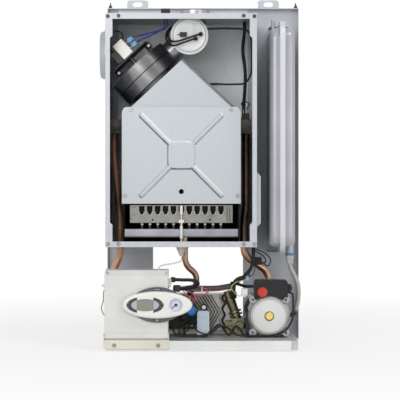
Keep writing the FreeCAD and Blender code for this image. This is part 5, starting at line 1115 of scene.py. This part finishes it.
def chevronMesh(rise, half, front, tall):  # one pointed rib, its point at the middle height
    work = bmesh.new()
    line = [(-plateLook["back"], -rise), (0.0, 0.0), (-plateLook["back"], rise)]
    base = front + plateLook["sink"]
    backRow = [[work.verts.new(mm(x + s * half, base, z)) for s in (-1, 1)] for x, z in line]
    faceRow = [[work.verts.new(mm(x + s * half / 2, front - tall, z)) for s in (-1, 1)] for x, z in line]
    for k in range(2):
        work.faces.new((faceRow[k][0], faceRow[k][1], faceRow[k + 1][1], faceRow[k + 1][0]))
        work.faces.new((backRow[k][0], backRow[k + 1][0], backRow[k + 1][1], backRow[k][1]))
        for s in (0, 1):
            work.faces.new((backRow[k][s], faceRow[k][s], faceRow[k + 1][s], backRow[k + 1][s]))
    for k in (0, 2):
        work.faces.new((backRow[k][0], backRow[k][1], faceRow[k][1], faceRow[k][0]))
    return meshFrom(work)


def plateRibs():  # pressed chevrons on the front plate with dark chevrons between them as painted shade in the grooves, its wavy edge and the lead beside it
    low, high = boxOf("plate_exchanger")
    margin, waves, pitch = plateLook["margin"], plateLook["waves"], plateLook["pitch"]
    rise, middle = (high.z - low.z) / 2 - margin, (low.z + high.z) / 2
    for name, half, tall, first, finish in plateLook["rows"]:
        mesh = chevronMesh(rise, half, low.y, tall)
        row(name, mesh, plateLook["count"], (first, 0, middle), (pitch, 0, 0), finish)
    heights = [low.z + margin + 2 * rise * k / waves for k in range(waves + 1)]
    for name, x, radius, finish in plateLook["edges"]:
        points = [(x + plateLook["waveWide"] * math.sin(k * math.pi / 2), low.y - plateLook["waveProud"], z)
                  for k, z in enumerate(heights)]
        wire(name, points, radius, finish)


plateRibs()


valveLook = {
    "ribs": 7, "ribPitch": 5.6, "ribStart": 5.0, "ribHalf": 0.8, "ribDeep": (-2.2, 0.4),
    "ribEnds": (26.0, -3.0), "ribBevel": 0.5, "capStep": 8.0,
    "coil": [(0, -0.4), (7.5, -0.4), (7.5, 9), (6, 10.5), (2.8, 10.5), (2.8, 12.5), (0, 12.5)],
    "coils": ((9, 0.3, 13), (9, 0.3, 29)), "screw": [(0, -0.4), (2, -0.4), (2, 1), (1.2, 1.6), (0, 1.6)],
    "screws": ((-6, -7), (-6, 7), (26, -7)), "screwProud": 0.1, "coilScrew": (9, -12, 13),
    "plug": [((30, -7, 20), (42, 0.3, 28)), ((36, -9, 4), (46, 0.3, 11))], "plugBevel": 1.0,
    "leadRadius": 1.3, "leads": (
        [(-60, -168, -651), (-62, -172, -662), (-54, -174, -674), (-42, -174, -676), (-30, -172, -668),
         (-25, -166, -657), (-27, -160, -647)],
        [(-62, -169, -637), (-56, -174, -646), (-47, -174, -656), (-36, -172, -652), (-31, -166, -644),
         (-36, -160, -636)],
        [(-33, -158, -642), (-24, -167, -652), (-17, -168, -664), (-8, -168, -672), (4, -168, -676),
         (14, -165, -675)])}


def gasValveDetails():  # cooling ribs, two coils, clamp screws, plugs and looped leads
    low, high = boxOf("gas_valve")
    front = max(low.y, boxOf("gas_valve_cap")[0].y + valveLook["capStep"])
    half, (proud, sunk), (left, right) = valveLook["ribHalf"], valveLook["ribDeep"], valveLook["ribEnds"]
    work = bmesh.new()
    ends = (low.x + left, front + proud, -half), (high.x + right, front + sunk, half)
    addBlock(work, *ends, valveLook["ribBevel"])
    row("gasValveRibs", meshFrom(work), valveLook["ribs"], (0, 0, low.z + valveLook["ribStart"]),
        (0, 0, valveLook["ribPitch"]), "blackMoulding")
    places = [low + Vector(place) for place in valveLook["coils"]]
    turnedSpots("gasValveCoils", valveLook["coil"], places, "blackMoulding", steps=32)
    rise = front - valveLook["screwProud"] - low.y
    places = [fromEdges(low, high, x, rise, z) for x, z in valveLook["screws"]]
    places.append(fromEdges(low, high, *valveLook["coilScrew"]))
    turnedSpots("gasValveScrews", valveLook["screw"], places, "lightMark", steps=16)
    blockPiece("gasValvePlug", valveLook["plug"], "blackMoulding", valveLook["plugBevel"],
               origin=(low.x, front, low.z))
    for index, points in enumerate(valveLook["leads"]):
        wire(f"gasValveLead{index}", points, valveLook["leadRadius"], "tubeRubber")


gasValveDetails()


waterLook = {
    "socketFront": 4.5, "socketRight": 1.0, "socketDown": 4.5,
    "socket": [(0, -0.5), (7.2, -0.5), (7.2, 2.4), (6.2, 3.2), (4.8, 3.2), (4.8, 1.6), (0, 1.6)],
    "knob": [(0, 1.2), (4.4, 1.2), (4.3, 3.4), (3.4, 5.2), (1.8, 6.1), (0, 6.4)],
    "seams": (((3, 8), (-3, 8.7)), ((3, -24), (-3, -23.3))), "seamDeep": (-0.25, 0.3),
    "bands": ((11, 10.6, 1.6), (17, 10.6, 1.0), (38, 13.2, 1.8), (45, 13.6, 1.4)), "bandSteps": 40,
    "bandInner": 0.7, "bandCrown": 1.03,
    "nuts": ((54, -130, -671), (74, -130, -662)),
    "nut": [(0, -1), (9.5, -1), (9.5, 6), (7.8, 7.8), (5, 7.8), (5, 5), (0, 5)],
    "trayPlug": [((86, -152, -684), (95, -141, -668)), ((88, -150, -669), (93, -143, -664))],
    "plugBevel": 1.2, "hose": (176.0, -107.0),
    "hoseNut": [(4.5, -17), (7.2, -17), (7.6, -15.5), (7.6, -8), (9.2, -7.5), (9.2, -0.5), (8, 0.2),
                (4.5, 0.2)],
    "hoseRing": [(7.8, 1.2), (8.9, 1.2), (8.9, 4.2), (7.8, 4.2)]}


def waterDetails():  # socket on the diverter, bands on the safety valve, fittings on the brass block
    low, high = boxOf("diverter_motor")
    x, y = (low.x + high.x) / 2, (low.y + high.y) / 2
    centre = (x + waterLook["socketRight"], y - waterLook["socketFront"], high.z - waterLook["socketDown"])
    latheFront("diverterSocket", waterLook["socket"], centre, "blackMoulding")
    latheFront("diverterKnob", waterLook["knob"], centre, "whiteMoulding")
    facePiece("diverterSeams", "diverter_motor", waterLook["seams"], waterLook["seamDeep"], "ringInk")
    axis = Vector(joints["relief_turn"]["axis"])
    axis = axis if axis.z > 0 else -axis
    knob = Vector(joints["relief_turn"]["pos_m"])
    foot = knob + axis * (middleOf("relief_knob") - knob).dot(axis)
    turn = axis.to_track_quat("Z", "Y").to_matrix().to_4x4()
    bands = bmesh.new()
    for down, r, h in waterLook["bands"]:
        inner, crown = r * waterLook["bandInner"], r * waterLook["bandCrown"]
        profile = [(inner, -h), (r, -h), (crown, 0), (r, h), (inner, h)]
        addLathe(bands, profile, Matrix.Translation(foot - axis * down / 1000) @ turn, waterLook["bandSteps"])
    keep("valveBands", meshFrom(bands), "brass")
    turnedSpots("blockNuts", waterLook["nut"], waterLook["nuts"], "brass", steps=6)
    blockPiece("trayPlug", waterLook["trayPlug"], "blackMoulding", waterLook["plugBevel"])


def hoseNut():  # union nut with a blue ring at the head of the vessel hose
    spot = Matrix.Translation(mm(*waterLook["hose"], boxOf("vessel_hose")[1].z))
    for name, steps, finish in (("hoseNut", 6, "screwZinc"), ("hoseRing", 32, "blueMoulding")):
        work = bmesh.new()
        addLathe(work, waterLook[name], spot, steps)
        keep(name, meshFrom(work), finish)


waterDetails()
hoseNut()
print("water and gas parts dressed")


loomLook = {
    "wires": {  # radius, sides, finish and path of each
        "redWireUpper": (0.9, 10, "redWire", [
            (-48, -171, -585), (-42, -173, -585), (-26, -173.5, -579), (-8, -173, -582), (9, -171, -588),
            (3, -168, -597), (-10, -164, -605), (-19, -160, -614), (-22, -157, -625)]),
        "redWireLower": (0.9, 10, "redWire", [
            (-48, -170, -586), (-40, -172, -588), (-22, -173, -594), (-6, -172, -600), (7, -171, -595),
            (14, -168, -589)]),
        "redWireInner": (0.9, 10, "redWire", [
            (-48, -171, -584), (-41, -172.5, -585), (-28, -172, -591), (-15, -171, -600), (-20, -167, -609),
            (-27, -161, -618), (-27, -157, -626)]),
        "redWireOuter": (0.9, 10, "redWire", [
            (-48, -170, -587), (-40, -171, -590), (-34, -171, -598), (-29, -167, -608), (-31, -161, -618),
            (-29, -157, -626)]),
        "redWireLong": (0.7, 10, "redWire", [
            (-50, -167, -582), (-44, -166, -581), (-20, -167, -580), (14, -165.5, -580.6), (40, -163, -580.6),
            (47, -160.8, -583.2)]),
        "violetWire": (0.7, 10, "redWire", [
            (-48, -171, -586), (-40, -172, -587), (-14, -172, -589.6), (20, -169, -590.4),
            (46, -165.5, -587.6), (55, -160.6, -581.8)]),
        "earthWire": (0.8, 10, "yellowWire", [
            (79, -153, -599), (72, -162, -601), (61, -167.5, -592), (57, -167.5, -582), (66, -166.5, -573),
            (82, -163, -569), (88, -159, -566)]),
        "clipLoopLong": (1.1, 10, "tubeRubber", [
            (103, -137, -508), (116, -131, -512), (128, -121, -519), (137, -118, -531), (132, -117, -543),
            (119, -116, -535)]),
        "clipLoopShort": (1.1, 10, "tubeRubber", [
            (104, -137, -512), (114, -129, -517), (124, -121, -525), (127, -118, -535), (118, -116, -538)]),
        "clipLead": (0.9, 10, "tubeRubber", [(101, -141, -529), (96, -144, -546), (91, -152, -564)]),
        "clipLeadThin": (0.9, 10, "tubeRubber", [
            (101.5, -141, -527), (105, -143, -541), (101, -150, -557), (90, -157, -564)]),
        "trayLead": (1.9, 10, "tubeRubber", [
            (11, -164, -674), (16, -163, -670), (24, -162, -663), (32, -161, -658), (39, -161, -664),
            (47, -161, -676), (54, -161, -678), (60, -161, -668), (66, -161, -661), (73, -160, -666),
            (81, -160, -678), (92, -158, -681.5)]),
        "sensorBranch": (4.6, 14, "loomWire", [
            (84, -156, -564), (72, -160, -567), (63, -161.5, -575), (60.5, -160, -590), (61, -150, -604),
            (60, -132, -604)]),
        "loomSleeve": (5.9, 16, "loomWrap", [
            (-36, -168, -586), (-18, -167.2, -586.5), (8, -164.5, -586.2), (30, -162, -585.4),
            (48, -160.6, -582.8), (60, -160, -580)]),
        "pumpLead": (3.6, 10, "tubeRubber", [
            (96, -151, -604), (89, -154, -615), (86, -154, -625), (89, -153, -636)])},
    "blocks": {  # bevel, finish and boxes of each
        "pipeClip": (1.8, "blackMoulding", [((105, -119, -541), (119, -101, -526))]),
        "loomTape": (4.0, "loomWrap", [((-60, -177, -592), (-44, -160, -578.5))]),
        "loomTie": (0.6, "whiteMoulding", [((-3.2, -172, -592.9), (-1.2, -159, -579.8))]),
        "pumpPlug": (1.4, "blackMoulding", [((85.5, -158, -677), (94.5, -146, -631))]),
        "loomPlug": (1.2, "whiteMoulding", [((76.5, -157, -601), (89.5, -144, -586.5)),
                                            ((79, -155, -604), (87, -146, -600))]),
        "loomPlugSmall": (1.0, "cyanMoulding", [((86, -161, -571), (91.5, -154, -562))]),
        "valvePlug": (1.2, "blackMoulding", [((54, -134, -608), (68, -120, -595))])},
    "nipple": (11, 20, 29), "nippleRise": 0.6, "nippleMore": 0.7, "capillaryRadius": 1.1,
    "capillary": [(-192.6, -186, -584), (-197, -186, -590), (-198, -186, -610), (-201.5, -186, -622),
                  (-198, -186, -634), (-192.6, -186, -640)]}


def loomDetails():  # loose wires, clips and plugs, the tube's rubber end and the capillary beside the box
    for name, (radius, sides, finish, points) in loomLook["wires"].items():
        wire(name, points, radius, finish, sides=sides)
    for name, (bevel, finish, boxes) in loomLook["blocks"].items():
        blockPiece(name, boxes, finish, bevel)
    low, high = boxOf("pressure_tubes")
    reach = (high.y - low.y) / 2
    points = [(x, low.y + reach, low.z + reach + loomLook["nippleRise"]) for x in loomLook["nipple"]]
    wire("hoodNipple", points, reach + loomLook["nippleMore"], "tubeRubber")
    wire("capillary", loomLook["capillary"], loomLook["capillaryRadius"], "copper", "control_unit")


loomDetails()

leadLook = {"box": [(-56.1, -188, -566.5), (-40, -188, -567), (-24, -187.4, -567.4), (-12, -184.5, -571),
                    (-10, -181.5, -575.5), (-18, -177.6, -580.5), (-32.5, -175, -584), (-46, -172.5, -585.4)],
            "boxRadius": 3.4, "boxSides": 14,
            "plug": [((-64, -193, -571.5), (-55, -183, -561.5))], "plugBevel": 1.2,
            "spark": [(-43, -189.5, -520.6), (-43, -189.9, -528), (-49, -190.9, -532), (-64, -191.5, -535),
                      (-78, -191.5, -537.4), (-86, -191.5, -541), (-88, -191.5, -546.8)],
            "sparkRadius": 1.4, "sparkSides": 12}
boxLead = wire("boxLead", leadLook["box"], leadLook["boxRadius"], "loomWire", "control_unit",
               leadLook["boxSides"], False)
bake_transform(boxLead)
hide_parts("control_loom")
blockPiece("boxLeadPlug", leadLook["plug"], "blackMoulding", leadLook["plugBevel"], "control_unit")
sparkLead = wire("sparkLead", leadLook["spark"], leadLook["sparkRadius"], "sparkSilicone", "chassis",
                 leadLook["sparkSides"], False)
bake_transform(sparkLead)
print("loom dressed")


stageLook = {"floorSize": 12.0, "floorGap": 0.004, "white": (0.92, 0.92, 0.92, 1.0), "rough": 0.8,
             "glow": (0.72, 1.0), "reach": (0.72, 1.5), "ambient": 0.38, "target": (0, -0.1, -0.35),
             "lamps": {"frontLamp": ((-0.9, -3.0, 0.6), 1.6, 33.0), "keyLamp": ((0.8, -1.3, 1.7), 0.6, 15.0),
                       "sideLamp": ((2.1, -2.3, -0.2), 1.4, 11.0)}}  # place, size and power


def floorFinish(name):  # white to the camera, takes the shadow near the object
    made = Finish(name, stageLook["rough"])
    made.colour(stageLook["white"])
    away = made.node("ShaderNodeVectorMath", {0: made.place}, operation="LENGTH").outputs["Value"]
    share = made.maths("MULTIPLY", made.seen(), made.spread(away, *stageLook["reach"], *stageLook["glow"]))
    glow = made.node("ShaderNodeEmission")
    mixed = made.node("ShaderNodeMixShader", {0: share, 1: made.shader.outputs[0], 2: glow.outputs[0]})
    made.feed(made.tree.nodes["Material Output"].inputs["Surface"], mixed.outputs[0])
    return made.material


def buildStage():
    half, level = stageLook["floorSize"] / 2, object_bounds()[0][2] - stageLook["floorGap"]
    mesh = bpy.data.meshes.new("floor")
    corners = [(-half, -half, level), (half, -half, level), (half, half, level), (-half, half, level)]
    mesh.from_pydata(corners, [], [(0, 1, 2, 3)])
    mesh.materials.append(floorFinish("floorPaper"))
    floor = bpy.data.objects.new("floor", mesh)
    bpy.context.scene.collection.objects.link(floor)
    world = bpy.data.worlds.new("studio")
    bpy.context.scene.world = world
    world.use_nodes = True
    made = Weave(world.node_tree)
    back = made.tree.nodes["Background"].inputs
    made.feed(back["Color"], (1, 1, 1, 1))
    made.feed(back["Strength"], made.spread(made.seen(), 0.0, 1.0, stageLook["ambient"], 1.0))
    for name, (spot, size, power) in stageLook["lamps"].items():
        data = bpy.data.lights.new(name, "AREA")
        data.size = size
        data.energy = power
        lamp = bpy.data.objects.new(name, data)
        lamp.location = spot
        lamp.rotation_euler = (Vector(stageLook["target"]) - Vector(spot)).to_track_quat("-Z", "Y").to_euler()
        bpy.context.scene.collection.objects.link(lamp)


cameraLook = {"distance": 3.225, "height": -0.369, "lens": 137.9, "sensor": 36.0, "shift": (-0.0075, -0.05)}


def placeCamera():  # straight in front, at the photo's eye height
    data = bpy.data.cameras.new("frontCamera")
    data.lens = cameraLook["lens"]
    data.sensor_width = cameraLook["sensor"]
    data.shift_x, data.shift_y = cameraLook["shift"]
    camera = bpy.data.objects.new("frontCamera", data)
    camera.location = (0, -cameraLook["distance"], cameraLook["height"])
    camera.rotation_euler = (math.pi / 2, 0, 0)
    bpy.context.scene.collection.objects.link(camera)
    bpy.context.scene.camera = camera
    bpy.context.scene.view_settings.view_transform = "Standard"


buildStage()
placeCamera()
print("stage ready")
